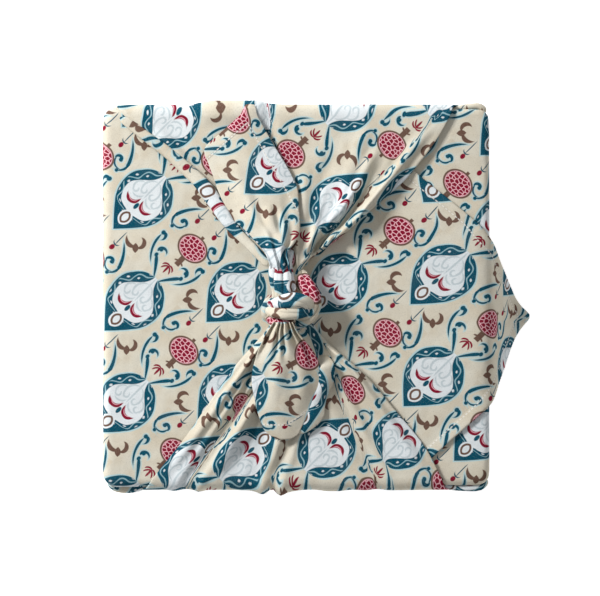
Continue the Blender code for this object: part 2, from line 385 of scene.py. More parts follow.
def fan(*rows: tuple[float, float, float, float, float]) -> tuple[Pleat, ...]:
    """Pleats from rows of angle, spread, rise in millimetres, start and end."""
    return tuple(Pleat(angle, spread, rise / 1000, *ends) for angle, spread, rise, *ends in rows)


def ripple(x: float, y: float, size: float) -> float:
    """Slow unevenness of laid cloth.

    Args:
        x: Place in plan.
        y: Place in plan.
        size: Greatest height.

    Returns:
        The height there.
    """
    waves = (
        math.sin(61 * x + 23 * y + 0.7)
        + math.sin(-37 * x + 71 * y + 2.1)
        + 0.6 * math.sin(113 * x - 97 * y + 4.0)
        + 0.4 * math.sin(171 * x + 149 * y + 1.3)
    )
    return size * waves / 3.0


class ClothMesh:
    """Collects grids of cloth in one mesh, with each point's place on the flat cloth."""

    def __init__(self) -> None:
        """Starts an empty mesh."""
        self.mesh = bmesh.new()
        self.flat = self.mesh.verts.layers.float_vector.new("flat")
        self.hem = self.mesh.verts.layers.float_vector.new("hem")

    def panel(self, rows: Sequence[Sequence[Knit]], weld: bool = False) -> None:
        """Adds one grid of cloth.

        Args:
            rows: Points in space and on the cloth, row by row.
            weld: Whether the first and the last column are the same line.
        """
        across = len(rows[0])
        grid = bmesh.ops.create_grid(
            self.mesh, x_segments=across - 1, y_segments=len(rows) - 1, size=1.0
        )
        knits = [knit for row in rows for knit in row]
        for vertex, (point, flat, hem) in zip(grid["verts"], knits):
            vertex.co = point
            vertex[self.flat] = (*flat, 0.0)
            vertex[self.hem] = (*hem, 0.0)
        if weld:
            self._weld(grid["verts"], across)

    def _weld(self, verts: list[bmesh.types.BMVert], across: int) -> None:
        """Joins the first column to the last."""
        targets = {verts[i + across - 1]: verts[i] for i in range(0, len(verts), across)}
        bmesh.ops.weld_verts(self.mesh, targetmap=targets)

    def finish(self, name: str, material: bpy.types.Material) -> bpy.types.Object:
        """Makes the object.

        Args:
            name: The piece's name.
            material: Its finish.

        Returns:
            The finished piece.
        """
        uvs = self.mesh.loops.layers.uv
        maps = [(uvs.new("cloth"), self.flat), (uvs.new("hem"), self.hem)]
        for face in self.mesh.faces:
            face.smooth = True
            for loop in face.loops:
                for uv, places in maps:
                    place = loop.vert[places]
                    loop[uv].uv = (place.x, place.y)
        data = bpy.data.meshes.new(name)
        self.mesh.to_mesh(data)
        self.mesh.free()
        data.materials.append(material)
        piece = bpy.data.objects.new(name, data)
        bpy.context.scene.collection.objects.link(piece)
        solid = piece.modifiers.new("thickness", "SOLIDIFY")
        solid.thickness = THICKNESS
        solid.offset = -1.0
        return piece


# ---- Shader graph ----


class Graph:
    """A material's node tree."""

    def __init__(self, tree: bpy.types.NodeTree) -> None:
        """Takes the tree to build in."""
        self.tree = tree

    def node(
        self, kind: str, settings: dict[str, Any] | None = None, **inputs: Any
    ) -> bpy.types.Node:
        """Adds a node.

        Args:
            kind: Its type, without the ShaderNode prefix.
            settings: Attributes, set before the sockets; "points" fills a curve.
            inputs: Values or wires, by socket name with _ for a blank, or as i0, i1 by index.

        Returns:
            The node.
        """
        made = self.tree.nodes.new("ShaderNode" + kind)
        for name, value in (settings or {}).items():
            if name == "points":
                self._fill_curve(made, value)
            else:
                setattr(made, name, value)
        for name, value in inputs.items():
            key = int(name[1:]) if name[0] == "i" and name[1:].isdigit() else name.replace("_", " ")
            socket = made.inputs[key]
            if isinstance(value, Wire):
                self.tree.links.new(value.socket, socket)
            elif isinstance(value, bpy.types.NodeSocket):
                self.tree.links.new(value, socket)
            else:
                socket.default_value = value
        return made

    @staticmethod
    def _fill_curve(node: bpy.types.Node, points: Table) -> None:
        """Sets a float curve's points.

        Args:
            node: The curve's node.
            points: Places and values, from 0 to 1.
        """
        curve = node.mapping.curves[0]
        while len(curve.points) < len(points):
            curve.points.new(0.5, 0.5)
        for point, (x, y) in zip(curve.points, points):
            point.location = (x, y)
            point.handle_type = "AUTO"
        node.mapping.update()

    def wire(self, kind: str, settings: dict[str, Any] | None = None, **inputs: Any) -> "Wire":
        """Adds a node and wraps its first output."""
        return Wire(self, self.node(kind, settings, **inputs).outputs[0])

    def mix(self, share: "Wire | float", first: Any, second: Any) -> "Wire":
        """Mixes two colours: share 0 gives the first and 1 the second."""
        settings = {"data_type": "RGBA", "clamp_factor": True}
        return Wire(self, self.node("Mix", settings, i0=share, i6=first, i7=second).outputs[2])

    def dyed(self, depth: "Wire", shade: "Wire", dye: tuple, bleed: float = 0.25) -> "Wire":
        """Prints a dye over the shade wherever a motif's depth is above zero.

        Args:
            depth: Millimetres inside the motif.
            shade: The colour underneath.
            dye: The colour printed.
            bleed: How far inside the motif the dye is full, in millimetres.

        Returns:
            The colour with the motif on it.
        """
        return self.mix(depth.rise(-0.2, bleed), shade, dye)

    def plan(self, p: "Wire", a: "Wire") -> "Wire":
        """The vector (p, a, 0)."""
        return self.wire("CombineXYZ", None, X=p, Y=a, Z=0.0)

    def vector(self, operation: str, first: "Wire", second: Place | None = None) -> "Wire":
        """A Vector Math node's number, for a vector in the plane of the drawing."""
        inputs = {"i0": first} if second is None else {"i0": first, "i1": (*second, 0.0)}
        made = self.node("VectorMath", {"operation": operation}, **inputs)
        return Wire(self, made.outputs["Value"])


class Wire:
    """A number in the shader, with arithmetic."""

    def __init__(self, graph: Graph, socket: bpy.types.NodeSocket) -> None:
        """Wraps an output socket."""
        self.graph = graph
        self.socket = socket

    def math(self, operation: str, *others: "Wire | float") -> "Wire":
        """Adds a Math node on this number."""
        values = {f"i{n + 1}": value for n, value in enumerate(others)}
        return self.graph.wire("Math", {"operation": operation}, i0=self, **values)

    def __add__(self, other: "Wire | float") -> "Wire":
        """Sum."""
        return self.math("ADD", other)

    def __sub__(self, other: "Wire | float") -> "Wire":
        """Difference."""
        return self.math("SUBTRACT", other)

    def __rsub__(self, other: float) -> "Wire":
        """Difference, with this number taken away."""
        return self.scaled(-1.0, other)

    def __mul__(self, other: "Wire | float") -> "Wire":
        """Product."""
        return self.math("MULTIPLY", other)

    def __abs__(self) -> "Wire":
        """Size without sign."""
        return self.math("ABSOLUTE")

    def most(self, other: "Wire | float") -> "Wire":
        """The greater of two."""
        return self.math("MAXIMUM", other)

    def least(self, other: "Wire | float") -> "Wire":
        """The smaller of two."""
        return self.math("MINIMUM", other)

    def scaled(self, factor: "Wire | float", plus: "Wire | float") -> "Wire":
        """This number times a factor, plus another."""
        return self.math("MULTIPLY_ADD", factor, plus)

    def wrapped(self, low: float, high: float) -> "Wire":
        """Repeats between two values."""
        return self.math("WRAP", high, low)

    def rise(self, low: float, high: float) -> "Wire":
        """Eases from 0 at low to 1 at high.

        Args:
            low: Where the rise starts.
            high: Where it ends.

        Returns:
            The share of the rise.
        """
        return self.graph.wire(
            "MapRange",
            {"interpolation_type": "SMOOTHSTEP"},
            Value=self,
            From_Min=low,
            From_Max=high,
            To_Min=0.0,
            To_Max=1.0,
        )


# ---- The print: p runs along the medallions' axis, and off or a across it ----


def colour(red: int, green: int, blue: int) -> tuple[float, ...]:
    """A dye's colour for the shader.

    Args:
        red: 0 to 255, as seen on a screen.
        green: The same.
        blue: The same.

    Returns:
        Linear red, green, blue and alpha.
    """
    shares = (red / 255, green / 255, blue / 255)
    linear = [((v + 0.055) / 1.055) ** 2.4 if v > 0.0405 else v / 12.92 for v in shares]
    return (*linear, 1.0)


@dataclass(frozen=True)
class Stroke:
    """A brush stroke along an arc. Places are (p, a) in millimetres of the drawn repeat."""

    start: Place
    middle: Place
    end: Place
    width: float
    lean: float = 0.0  # above 0 the stroke is thicker towards its end
    pointed: bool = False

    def moved(self) -> "Stroke":
        """The same stroke in the neighbouring half-drop cell."""
        places = [(p + DROP_P, DROP_Q - a) for p, a in (self.start, self.middle, self.end)]
        return Stroke(*places, self.width, self.lean, self.pointed)

    def depth(self, point: Wire) -> Wire:
        """How far inside the stroke the point is, in millimetres.

        Args:
            point: The vector (p, a, 0).

        Returns:
            Millimetres inside, below zero outside.
        """
        graph = point.graph
        centre, radius = self._circle()
        middle = (Vector(self.middle) - centre).normalized()
        tangent = Vector((-middle.y, middle.x))
        start, end = Vector(self.start) - centre, Vector(self.end) - centre
        if end.dot(tangent) < 0:
            tangent = -tangent
        half_chord = max(abs(end.dot(tangent)), abs(start.dot(tangent)))
        turned = end.dot(middle) < 0
        far = graph.vector("DISTANCE", point, centre)
        along = graph.vector("DOT_PRODUCT", point, tangent) - centre.dot(tangent)
        out = graph.vector("DOT_PRODUCT", point, middle) - centre.dot(middle)
        if turned:
            half_turn = math.acos(max(min(end.dot(middle) / radius, 1), -1))
            share = along.math("ARCTAN2", out) * (1 / half_turn)
        else:
            share = along * (1 / half_chord)
        ends = share * share
        if not self.pointed:
            ends = ends * ends
        taper = ends.scaled(-self.width / 2, self.width / 2)
        if self.lean:
            taper = taper * share.scaled(self.lean, 1.0).most(0.1)
        depth = taper - abs(far - radius)
        return depth if turned else depth.least(out)

    def _circle(self) -> tuple[Vector, float]:
        """The circle through the stroke's three places.

        Returns:
            Its centre and its radius.
        """
        (ax, ay), (bx, by), (cx, cy) = self.start, self.middle, self.end
        by += 1e-4
        twice = 2 * (ax * (by - cy) + bx * (cy - ay) + cx * (ay - by))
        if abs(twice) < 0.4:  # so straight that it is bent a little
            bx += 0.05
            by += 0.05
            twice = 2 * (ax * (by - cy) + bx * (cy - ay) + cx * (ay - by))
        a2, b2, c2 = ax * ax + ay * ay, bx * bx + by * by, cx * cx + cy * cy
        x = (a2 * (by - cy) + b2 * (cy - ay) + c2 * (ay - by)) / twice
        y = (a2 * (cx - bx) + b2 * (ax - cx) + c2 * (bx - ax)) / twice
        centre = Vector((x, y))
        return centre, (Vector(self.start) - centre).length


@dataclass(frozen=True)
class Bead:
    """A filled ellipse of the drawing, in millimetres."""

    centre: Place
    radii: Place

    def moved(self) -> "Bead":
        """The same bead half a repeat on, and mirrored."""
        return Bead((self.centre[0] + DROP_P, DROP_Q - self.centre[1]), self.radii)

    def depth(self, point: Wire) -> Wire:
        """How far inside it the point is, in millimetres.

        Args:
            point: The vector (p, a, 0).

        Returns:
            Millimetres inside, below zero outside.
        """
        graph = point.graph
        near = graph.wire("VectorMath", {"operation": "SUBTRACT"}, i0=point, i1=(*self.centre, 0.0))
        unit = graph.wire("VectorMath", {"operation": "DIVIDE"}, i0=near, i1=(*self.radii, 1.0))
        small = min(self.radii)
        return graph.vector("LENGTH", unit).scaled(-small, small)


Motif = Stroke | Bead

REPEAT_P = 97.7  # the drawn repeat along a medallion's axis, in millimetres
REPEAT_Q = 83.6  # and across it
DROP_P = REPEAT_P / 2
DROP_Q = REPEAT_Q / 2
CUT = -5.1  # where the repeat is cut along its axis, clear of most motifs

# The motifs, in millimetres of the drawn repeat. A wandering motif crosses the edge of its cell,
# so it is drawn again in the neighbouring half-drop cell.
TEAL_SCROLLS = (
    Stroke((43.8, 1.0), (50.8, 5.8), (57.2, 11.4), 1.9, 0.6),
    Stroke((50.7, 10.0), (58.4, 16.0), (68.2, 17.8), 1.6, 0.3),
    Stroke((64.4, 15.8), (68.4, 14.8), (70.0, 18.6), 2.0, 0.5),
    Stroke((61.6, 6.8), (62.6, 10.2), (58.6, 11.8), 1.9, 0.5),
    Bead((56.6, 11.0), (1.5, 1.2)),
    Bead((69.4, 17.6), (1.5, 1.4)),
    Bead((61.0, 10.8), (1.4, 1.2)),
)
TEAL_WANDERING = (
    Stroke((47.9, 31.2), (40.5, 24.7), (33.6, 21.6), 2.0, 0.4),
    Stroke((35.6, 21.6), (30.6, 22.2), (27.0, 25.5), 1.5, -0.5),
    Stroke((29.6, 23.2), (29.2, 28.4), (33.5, 30.9), 1.2, 0.3),
    Stroke((31.6, 30.7), (35.2, 29.8), (33.6, 26.9), 2.0, 0.3),
    Bead((34.6, 21.9), (1.5, 1.2)),
    Bead((27.4, 25.0), (1.2, 1.2)),
    Bead((33.8, 27.6), (1.2, 1.4)),
)
BROWN_WANDERING = (  # two wings and a body
    Stroke((57.6, 24.4), (55.2, 20.9), (50.8, 23.2), 2.9, 0.0, True),
    Stroke((47.9, 21.2), (50.2, 23.3), (52.6, 25.4), 4.0, 0.0, True),
    Stroke((51.2, 23.2), (48.9, 28.0), (52.4, 33.0), 2.9, 0.0, True),
)
BUD_STEM = (
    Stroke((53.6, 34.1), (48.0, 34.15), (42.9, 34.0), 0.7),
    Stroke((44.4, 36.4), (42.8, 34.1), (44.4, 31.6), 0.9),
)
BUD = Bead((40.5, 34.3), (1.9, 1.5))
SPRAY = (
    Stroke((57.8, 0.0), (54.5, 0.1), (51.4, 0.0), 1.3, -0.2),
    Stroke((57.6, 0.2), (57.2, 2.4), (55.0, 4.2), 1.2),
    Stroke((56.8, 0.2), (55.4, 2.0), (52.8, 3.4), 1.1),
)
SWIRLS = (
    Stroke((44.0, 0.0), (36.0, 0.05), (27.0, 0.0), 0.9),
    Stroke((40.0, 1.0), (35.0, 5.8), (30.0, 5.2), 1.1),
    Stroke((30.0, 5.2), (29.2, 2.6), (32.4, 3.0), 1.0),
    Stroke((34.5, 6.4), (31.0, 10.6), (27.0, 9.4), 1.1),
    Stroke((27.0, 9.6), (26.6, 7.0), (29.6, 7.2), 1.0),
    Stroke((28.0, 1.2), (25.0, 4.0), (24.6, 7.0), 0.9),
)
CRESCENT = Stroke((21.6, 9.4), (20.4, 4.7), (25.4, 0.9), 2.6)
CRESCENT_GLEAM = Stroke((21.9, 7.8), (21.0, 4.9), (24.2, 2.0), 0.6)
HEART_SEED = Bead((20.2, 0.0), (2.4, 1.3))
FRUIT = Bead((78.0, 0.0), (8.4, 10.5))
FRUIT_WING = Stroke((67.0, 0.0), (66.2, 1.8), (65.4, 3.6), 1.2)
FRUIT_OFF = (2.9, 2.6)  # added to (p, off): the fruit stands a little to one side of the axis

# Outlines: distance from the medallion's tip along the axis, and half the width there.
OUTLINE_END = 50.0
OUTLINE_LEAST = -3.0
OUTLINE_SPAN = 24.0
MEDALLION_OUTLINE = (
    (-2.0, -1.9), (0.0, 0.0), (6.0, 5.7), (12.5, 11.4), (17.5, 15.0), (23.9, 17.2), (30.4, 17.5),
    (34.6, 16.4), (38.6, 13.8), (41.8, 11.0), (43.9, 8.2), (45.1, 5.4), (45.7, 2.0), (46.4, -1.5),
    (50.0, -3.0),
)
HEART_OUTLINE = (
    (12.6, -3.0), (13.6, 0.6), (14.6, 3.6), (15.4, 7.0), (16.8, 10.0), (20.4, 12.5), (23.9, 13.7),
    (28.2, 13.6), (31.8, 11.4), (35.4, 7.8), (38.9, 4.2), (42.0, 2.3), (44.6, 1.5), (50.0, 1.2),
)


@dataclass(frozen=True)
class Dyes:
    """The print's colours, the threads' colours, and one colour for painted shade in the hem's
    groove and for broad mottling.
    """

    ground: tuple = colour(214, 208, 192)
    ground_deep: tuple = colour(206, 195, 174)
    teal: tuple = colour(0, 74, 94)
    halo: tuple = colour(168, 205, 212)
    white: tuple = colour(219, 224, 226)
    grey: tuple = colour(180, 192, 196)
    crimson: tuple = colour(128, 6, 40)
    pink: tuple = colour(232, 176, 184)
    brown: tuple = colour(104, 78, 66)
    # painted shade in the hem's groove, and the dye's broad mottling
    shadow: tuple = colour(150, 140, 126)
    stitch: tuple = colour(236, 232, 224)
    pale_thread: tuple = colour(250, 247, 240)
    dark_thread: tuple = colour(40, 52, 56)


@dataclass(frozen=True)
class PrintedCotton:
    """The plain-woven cotton and its all-over half-drop print of medallions and pomegranates."""

    tip_p: float = 0.1353  # a medallion's tip on the cloth, along the medallions' axis
    tip_q: float = -0.1434
    stretch_p: float = 1.0315  # printed size over drawn size
    stretch_q: float = 1.0130
    hem: float = 0.0066  # width of the turned hem
    stitch_pitch: float = 0.0024
    thread_pitch: float = 0.00068
    thread_height: float = 0.000032
    crumple_height: float = 0.0014
    fine_height: float = 0.00016
    roughness: float = 0.86
    specular: float = 0.06
    dyes: Dyes = field(default_factory=Dyes)

    def build(self) -> bpy.types.Material:
        """Makes the material.

        Returns:
            The finished material.
        """
        material = bpy.data.materials.new("printed_cotton")
        material.use_nodes = True
        tree = material.node_tree
        tree.nodes.clear()
        graph = Graph(tree)
        cloth = graph.node("UVMap", {"uv_map": "cloth"}).outputs[0]
        split = graph.node("SeparateXYZ", i0=cloth)
        s, t = Wire(graph, split.outputs[0]), Wire(graph, split.outputs[1])
        shade = self._print(s, t)
        shade, hem_height = self._hem(shade)
        shade = self._wear(cloth, shade)
        height = self._weave(cloth, s, t) + hem_height
        bump = graph.node("Bump", None, Strength=1.0, Distance=1.0, Height=height)
        shader = graph.node("BsdfPrincipled", None, Base_Color=shade, Normal=bump.outputs[0])
        shader.inputs["Roughness"].default_value = self.roughness
        shader.inputs["Specular IOR Level"].default_value = self.specular
        output = tree.nodes.new("ShaderNodeOutputMaterial")
        tree.links.new(shader.outputs[0], output.inputs[0])
        return material

    def _fold(self, s: Wire, t: Wire) -> tuple[Wire, Wire]:
        """Folds the cloth into the drawn cell: distance along the axis, and off it.

        Args:
            s: Place on the cloth.
            t: Place on the cloth.

        Returns:
            Both distances, in millimetres, the second with its sign.
        """
        half = math.sqrt(0.5)
        p = (s + t).scaled(half * 1000 / self.stretch_p, -self.tip_p * 1000 / self.stretch_p)
        q = (t - s).scaled(half * 1000 / self.stretch_q, -self.tip_q * 1000 / self.stretch_q)
        off = q.wrapped(-REPEAT_Q / 2, REPEAT_Q / 2)
        a = abs(off)
        far = a.math("GREATER_THAN", REPEAT_Q / 4)
        p = p + far * DROP_P
        off = off - off.math("SIGN") * far * DROP_Q
        return p, off

    def _print(self, s: Wire, t: Wire) -> Wire:
        """The whole drawing, dye over dye.

        Args:
            s: Place on the cloth.
            t: Place on the cloth.

        Returns:
            The printed colour.
        """
        graph, dyes = s.graph, self.dyes
        folded, off = self._fold(s, t)
        a = abs(off)
        p = folded.wrapped(CUT, CUT + REPEAT_P)
        late = folded.wrapped(CUT + 43.7, CUT + 43.7 + REPEAT_P)
        point = graph.plan(p, a)
        late_point = graph.plan(late, a)

        cloud = graph.wire("TexNoise", None, Vector=point, Scale=0.045, Detail=2.0)
        shade = graph.mix(cloud.rise(0.35, 0.65), dyes.ground, dyes.ground_deep)

        teal = self._union(point, TEAL_SCROLLS)
        teal = teal.most(self._twice(late_point, TEAL_WANDERING))
        shade = graph.mix(teal.rise(-1.1, -0.4) * 0.7, shade, dyes.halo)
        shade = graph.dyed(teal.most(self._twice(late_point, BUD_STEM)), shade, dyes.teal)
        brown = self._twice(late_point, BROWN_WANDERING)
        shade = graph.dyed(brown, shade, dyes.brown, 0.3)
        red = self._twice(late_point, (BUD,)).most(self._union(point, SPRAY))
        shade = graph.dyed(red, shade, dyes.crimson)
        shade = self._pomegranate(p + FRUIT_OFF[0], off + FRUIT_OFF[1], shade)
        return self._medallion(point, p, a, shade)

    def _union(self, point: Wire, motifs: Sequence[Motif]) -> Wire:
        """Several motifs as one shape.

        Args:
            point: The vector (p, a, 0).
            motifs: What is joined.

        Returns:
            Millimetres inside the nearest.
        """
        depth = motifs[0].depth(point)
        for motif in motifs[1:]:
            depth = depth.most(motif.depth(point))
        return depth

    def _twice(self, point: Wire, motifs: Sequence[Motif]) -> Wire:
        """Motifs and their copies in the neighbouring half-drop cell, as one shape."""
        return self._union(point, [*motifs, *(motif.moved() for motif in motifs)])

    def _pomegranate(self, p: Wire, off: Wire, shade: Wire) -> Wire:
        """The fruit: a brown skin, seeds, a crown and a stalk.

        Args:
            p: Distance along the medallions' axis, in millimetres.
            off: Distance off the axis, with its sign.
            shade: The colour underneath.

        Returns:
            The colour with the fruit on it.
        """
        graph, dyes = p.graph, self.dyes
        a = abs(off)
        point = graph.plan(p, a)
        fruit = FRUIT.depth(point)
        stalk = (abs(p - 67.4).scaled(-1.0, 3.9)).least(a.scaled(-1.0, 1.8))
        crown = (abs(p - 85.8).scaled(-1.0, 2.2)).least(a.scaled(-1.0, 1.1))
        skin = fruit.most(stalk).most(FRUIT_WING.depth(point)).most(crown)
        shade = graph.dyed(skin, shade, dyes.brown, 0.3)
        shade = graph.mix(fruit.rise(0.9, 1.3), shade, dyes.pink)
        edge = graph.wire(
            "TexVoronoi",
            {"feature": "DISTANCE_TO_EDGE", "voronoi_dimensions": "2D"},
            Vector=graph.plan(off * (1 / 3.0), (p - FRUIT.centre[0]) * (1 / 2.3)),
            Scale=1.0,
            Randomness=0.55,
        )
        seeds = edge.rise(0.06, 0.14).least(fruit.rise(1.3, 1.7))
        return graph.mix(seeds, shade, dyes.crimson)

    def _outline(self, p: Wire, a: Wire, table: Table) -> Wire:
        """How far inside an outline a point is, in millimetres.

        Args:
            p: Distance along the medallions' axis, in millimetres.
            a: Distance off that axis, in millimetres.
            table: The outline.

        Returns:
            Millimetres inside, below zero outside.
        """
        low = table[0][0]
        span = OUTLINE_END - low
        points = [((x - low) / span, (w - OUTLINE_LEAST) / OUTLINE_SPAN) for x, w in table]
        share = (p - low) * (1 / span)
        curve = p.graph.wire("FloatCurve", {"points": points}, Factor=1.0, Value=share)
        return (curve * OUTLINE_SPAN + OUTLINE_LEAST - a) * 0.8

    def _medallion(self, point: Wire, p: Wire, a: Wire, shade: Wire) -> Wire:
        """The medallion: a vine border round a pale heart with a ring at its tip.

        Args:
            point: The vector (p, a, 0).
            p: Distance along the medallions' axis, in millimetres.
            a: Distance off that axis, in millimetres.
            shade: The colour underneath.

        Returns:
            The colour with the medallion on it.
        """
        graph, dyes = p.graph, self.dyes
        ends = (p + 2.0).least(OUTLINE_END - p)
        outer = self._outline(p, a, MEDALLION_OUTLINE).least(ends)
        heart = self._outline(p, a, HEART_OUTLINE).least(p - 12.6).least(46.0 - p)
        shade = graph.mix(outer.rise(-1.1, -0.5) * 0.85, shade, dyes.halo)
        shade = graph.dyed(outer, shade, dyes.teal)
        shade = self._vine(p, a, outer, heart, shade)
        shade = graph.dyed(heart, shade, dyes.white, 0.3)
        swirls = self._union(point, SWIRLS)
        shade = graph.mix(swirls.rise(-0.5, 0.3) * 0.8, shade, dyes.grey)

        shade = graph.dyed(CRESCENT.depth(point), shade, dyes.crimson)
        gleam = CRESCENT_GLEAM.depth(point)
        shade = graph.mix(gleam.rise(-0.2, 0.2) * 0.8, shade, dyes.pink)
        shade = graph.dyed(HEART_SEED.depth(point), shade, dyes.teal)

        # The ring is the lens between two circles that stand off the axis.
        lens = graph.vector("LENGTH", graph.plan(p - 10.4, a + 1.28)).scaled(-1.0, 4.5)
        shade = graph.mix(lens.rise(-1.3, -0.9), shade, dyes.white)
        shade = graph.dyed(lens, shade, dyes.brown, 0.2)
        return graph.mix(lens.rise(1.1, 1.5), shade, dyes.white)

    def _vine(self, p: Wire, a: Wire, outer: Wire, heart: Wire, shade: Wire) -> Wire:
        """A thin curling vine with berries, along the middle of the medallion's border.

        Args:
            p: Distance along the medallions' axis, in millimetres.
            a: Distance off that axis, in millimetres.
            outer: Depth inside the medallion.
            heart: Depth inside the heart.
            shade: The colour underneath.

        Returns:
            The colour with the vine on it.
        """
        graph = p.graph
        heading = a.math("ARCTAN2", p - 28.0)
        across = outer.scaled(0.5, 0.0) + heart * 0.5
        phase = heading * 7.0
        wave = phase.math("SINE") * 1.5
        line = abs(across - wave)
        inside = outer.rise(0.4, 1.0)
        shade = graph.mix((0.34 - line).rise(-0.25, 0.2) * inside * 0.7, shade, self.dyes.halo)
        bead = abs(across + wave * 0.6) + abs(phase.math("SINE")).scaled(-5.0, 5.0)
        return graph.mix((0.62 - bead).rise(-0.3, 0.3) * inside * 0.9, shade, self.dyes.white)

    def _hem(self, shade: Wire) -> tuple[Wire, Wire]:
        """The turned hem's line of stitches with painted shade along its groove, and the height of
        its edge.

        Args:
            shade: The colour underneath.

        Returns:
            The colour with the stitches and the painted groove shade on it, and the height in
            metres.
        """
        graph = shade.graph
        place = graph.node("UVMap", {"uv_map": "hem"}).outputs[0]
        split = graph.node("SeparateXYZ", i0=place)
        along, inside = Wire(graph, split.outputs[0]), Wire(graph, split.outputs[1])
        line = abs(inside - self.hem)
        dash = (along * (2 * math.pi / self.stitch_pitch)).math("SINE")
        stitch = (0.00036 - line).rise(-0.0001, 0.0001) * dash.rise(-0.6, -0.2)
        groove = (0.0010 - line).rise(0.0, 0.0010)
        # Painted shade: the cloth is darkened along the stitched groove.
        shade = graph.mix(groove * 0.22, shade, self.dyes.shadow)
        shade = graph.mix(stitch * 0.75, shade, self.dyes.stitch)
        height = (self.hem + 0.0006 - inside).rise(-0.0004, 0.0004) * 0.00035 - groove * 0.00016
        return shade, height

    def _wear(self, cloth: bpy.types.NodeSocket, shade: Wire) -> Wire:
        """Uneven take-up of the dye on the threads.

        Args:
            cloth: The places on the cloth.
            shade: The colour underneath.

        Returns:
            The worn colour.
        """
        graph, dyes = shade.graph, self.dyes
        fleck = graph.wire("TexNoise", None, Vector=cloth, Scale=1400.0, Detail=2.0, Roughness=0.6)
        dark = fleck.scaled(-1.0, 1.0)
        shade = graph.mix(fleck.rise(0.5, 0.72) * 0.06, shade, dyes.pale_thread)
        shade = graph.mix(dark.rise(0.5, 0.72) * 0.16, shade, dyes.dark_thread)
        broad = graph.wire("TexNoise", None, Vector=cloth, Scale=60.0, Detail=3.0)
        return graph.mix(broad.rise(0.45, 0.8) * 0.06, shade, dyes.shadow)

    def _weave(self, cloth: bpy.types.NodeSocket, s: Wire, t: Wire) -> Wire:
        """Height of the threads and of small crumples, in metres.

        Args:
            cloth: The places on the cloth.
            s: Place on the cloth.
            t: Place on the cloth.

        Returns:
            The height.
        """
        graph = s.graph
        turns = 2 * math.pi / self.thread_pitch * math.sqrt(0.5)
        # The threads run along the cloth's own edges, which lie at 45 degrees to s and t.
        warp = ((s + t) * turns).math("SINE")
        weft = ((t - s) * turns).math("SINE")
        threads = warp * weft * self.thread_height
        crumple = graph.wire("TexNoise", None, Vector=cloth, Scale=42.0, Detail=3.0, Roughness=0.5)
        fine = graph.wire("TexNoise", None, Vector=cloth, Scale=210.0, Detail=2.0, Roughness=0.5)
        return threads + crumple * self.crumple_height + fine * self.fine_height


# ---- The wrap ----


@dataclass
class SideFlap:
    """A side corner of the cloth, laid from one wall over the top of the parcel."""

    parcel: Parcel
    hem: Table  # y in plan, and how far the flap reaches along x
    shift: Place  # added to (x, y) to give (s, t)
    lift: float
    from_left: bool
    tip_path: Rows = ()  # x and z
    rows: int = 122
    columns: int = 102
    ripple: float = 0.00035
    hem_lift: float = 0.0009  # how far the free edge stands off
    hem_run: float = 0.012  # over how much of the flap it comes up
    trim_run: float = 0.09  # over how much of it the print is fitted to the free edge

    def build(self, cloth: ClothMesh) -> None:
        """Adds the flap, its wall, and the folds hidden behind the neighbouring walls.

        Args:
            cloth: The mesh to add it to.
        """
        parcel = self.parcel
        edge_x = parcel.half_width - parcel.edge
        edge_y = parcel.half_depth - parcel.edge
        down = parcel.bend + parcel.wall + parcel.foot * 1.4
        down_x = steps(((-edge_x - down, 0), (-edge_x - parcel.bend, 12), (-edge_x, 5)))
        lines_y = steps(
            (
                (-edge_y - down, 0),
                (-edge_y - parcel.bend, 8),
                (-edge_y, 4),
                (edge_y, self.columns),
                (edge_y + parcel.bend, 4),
                (edge_y + down, 8),
            )
        )
        rows = []
        for x in down_x[:-1]:
            rows.append([self._knit(x, y, reading(self.hem, y)) for y in lines_y])
        for share in steps(((0.0, 0), (1.0, self.rows))):
            row = []
            for y in lines_y:
                end = reading(self.hem, y)
                row.append(self._knit(-edge_x + share * (end + edge_x), y, end))
            rows.append(row)
        # Rows run along x and columns along y, so the panel is turned to face upwards.
        columns = [list(line) for line in zip(*rows)]
        if not self.from_left:
            columns.reverse()
        cloth.panel(columns)

    def _knit(self, x: float, y: float, end: float) -> Knit:
        """A point of the flap in space and on the cloth.

        Args:
            x: Place in plan, away from the flap's own wall.
            y: Place in plan.
            end: Where the free edge lies.

        Returns:
            The point.
        """
        side = 1 if self.from_left else -1
        lift = self.lift + ripple(x * side, y, self.ripple)
        if self.tip_path:
            lift += self.hem_lift * smooth(end - self.hem_run, end - 0.001, x)
        if self.tip_path and x > self.tip_path[0][0]:
            point = self._hanging(x, y, lift - self.lift)
        else:
            point = self.parcel.place(x * side, y, lift)
        flat_end = REACH - self.shift[0] - abs(y + self.shift[1]) if self.tip_path else end
        trim = (flat_end - end) * smooth(end - self.trim_run, end, x)
        s = x + self.shift[0] + trim
        t = y + self.shift[1]
        return point, (s * side, t), hem_place(s, t)

    def _hanging(self, x: float, y: float, lift: float) -> Vector:
        """A point of the tip, which leaves the top and hangs past the far edge.

        Args:
            x: Length of cloth from the middle of the top.
            y: Place in plan.
            lift: Height above the hanging line.

        Returns:
            The point in space.
        """
        run = x - self.tip_path[0][0]
        lengths = [0.0]
        for (x0, z0), (x1, z1) in zip(self.tip_path, self.tip_path[1:]):
            lengths.append(lengths[-1] + math.hypot(x1 - x0, z1 - z0))
        to_x = [(length, px) for length, (px, _) in zip(lengths, self.tip_path)]
        to_z = [(length, pz) for length, (_, pz) in zip(lengths, self.tip_path)]
        near = (run - 0.001, run, run + 0.001)
        places = [Vector((reading(to_x, at), 0.0, reading(to_z, at))) for at in near]
        behind, here, ahead = places
        along = (ahead - behind).normalized()
        normal = Vector((-along.z, 0.0, along.x))
        here += normal * lift
        return Vector((here.x, y, here.z))


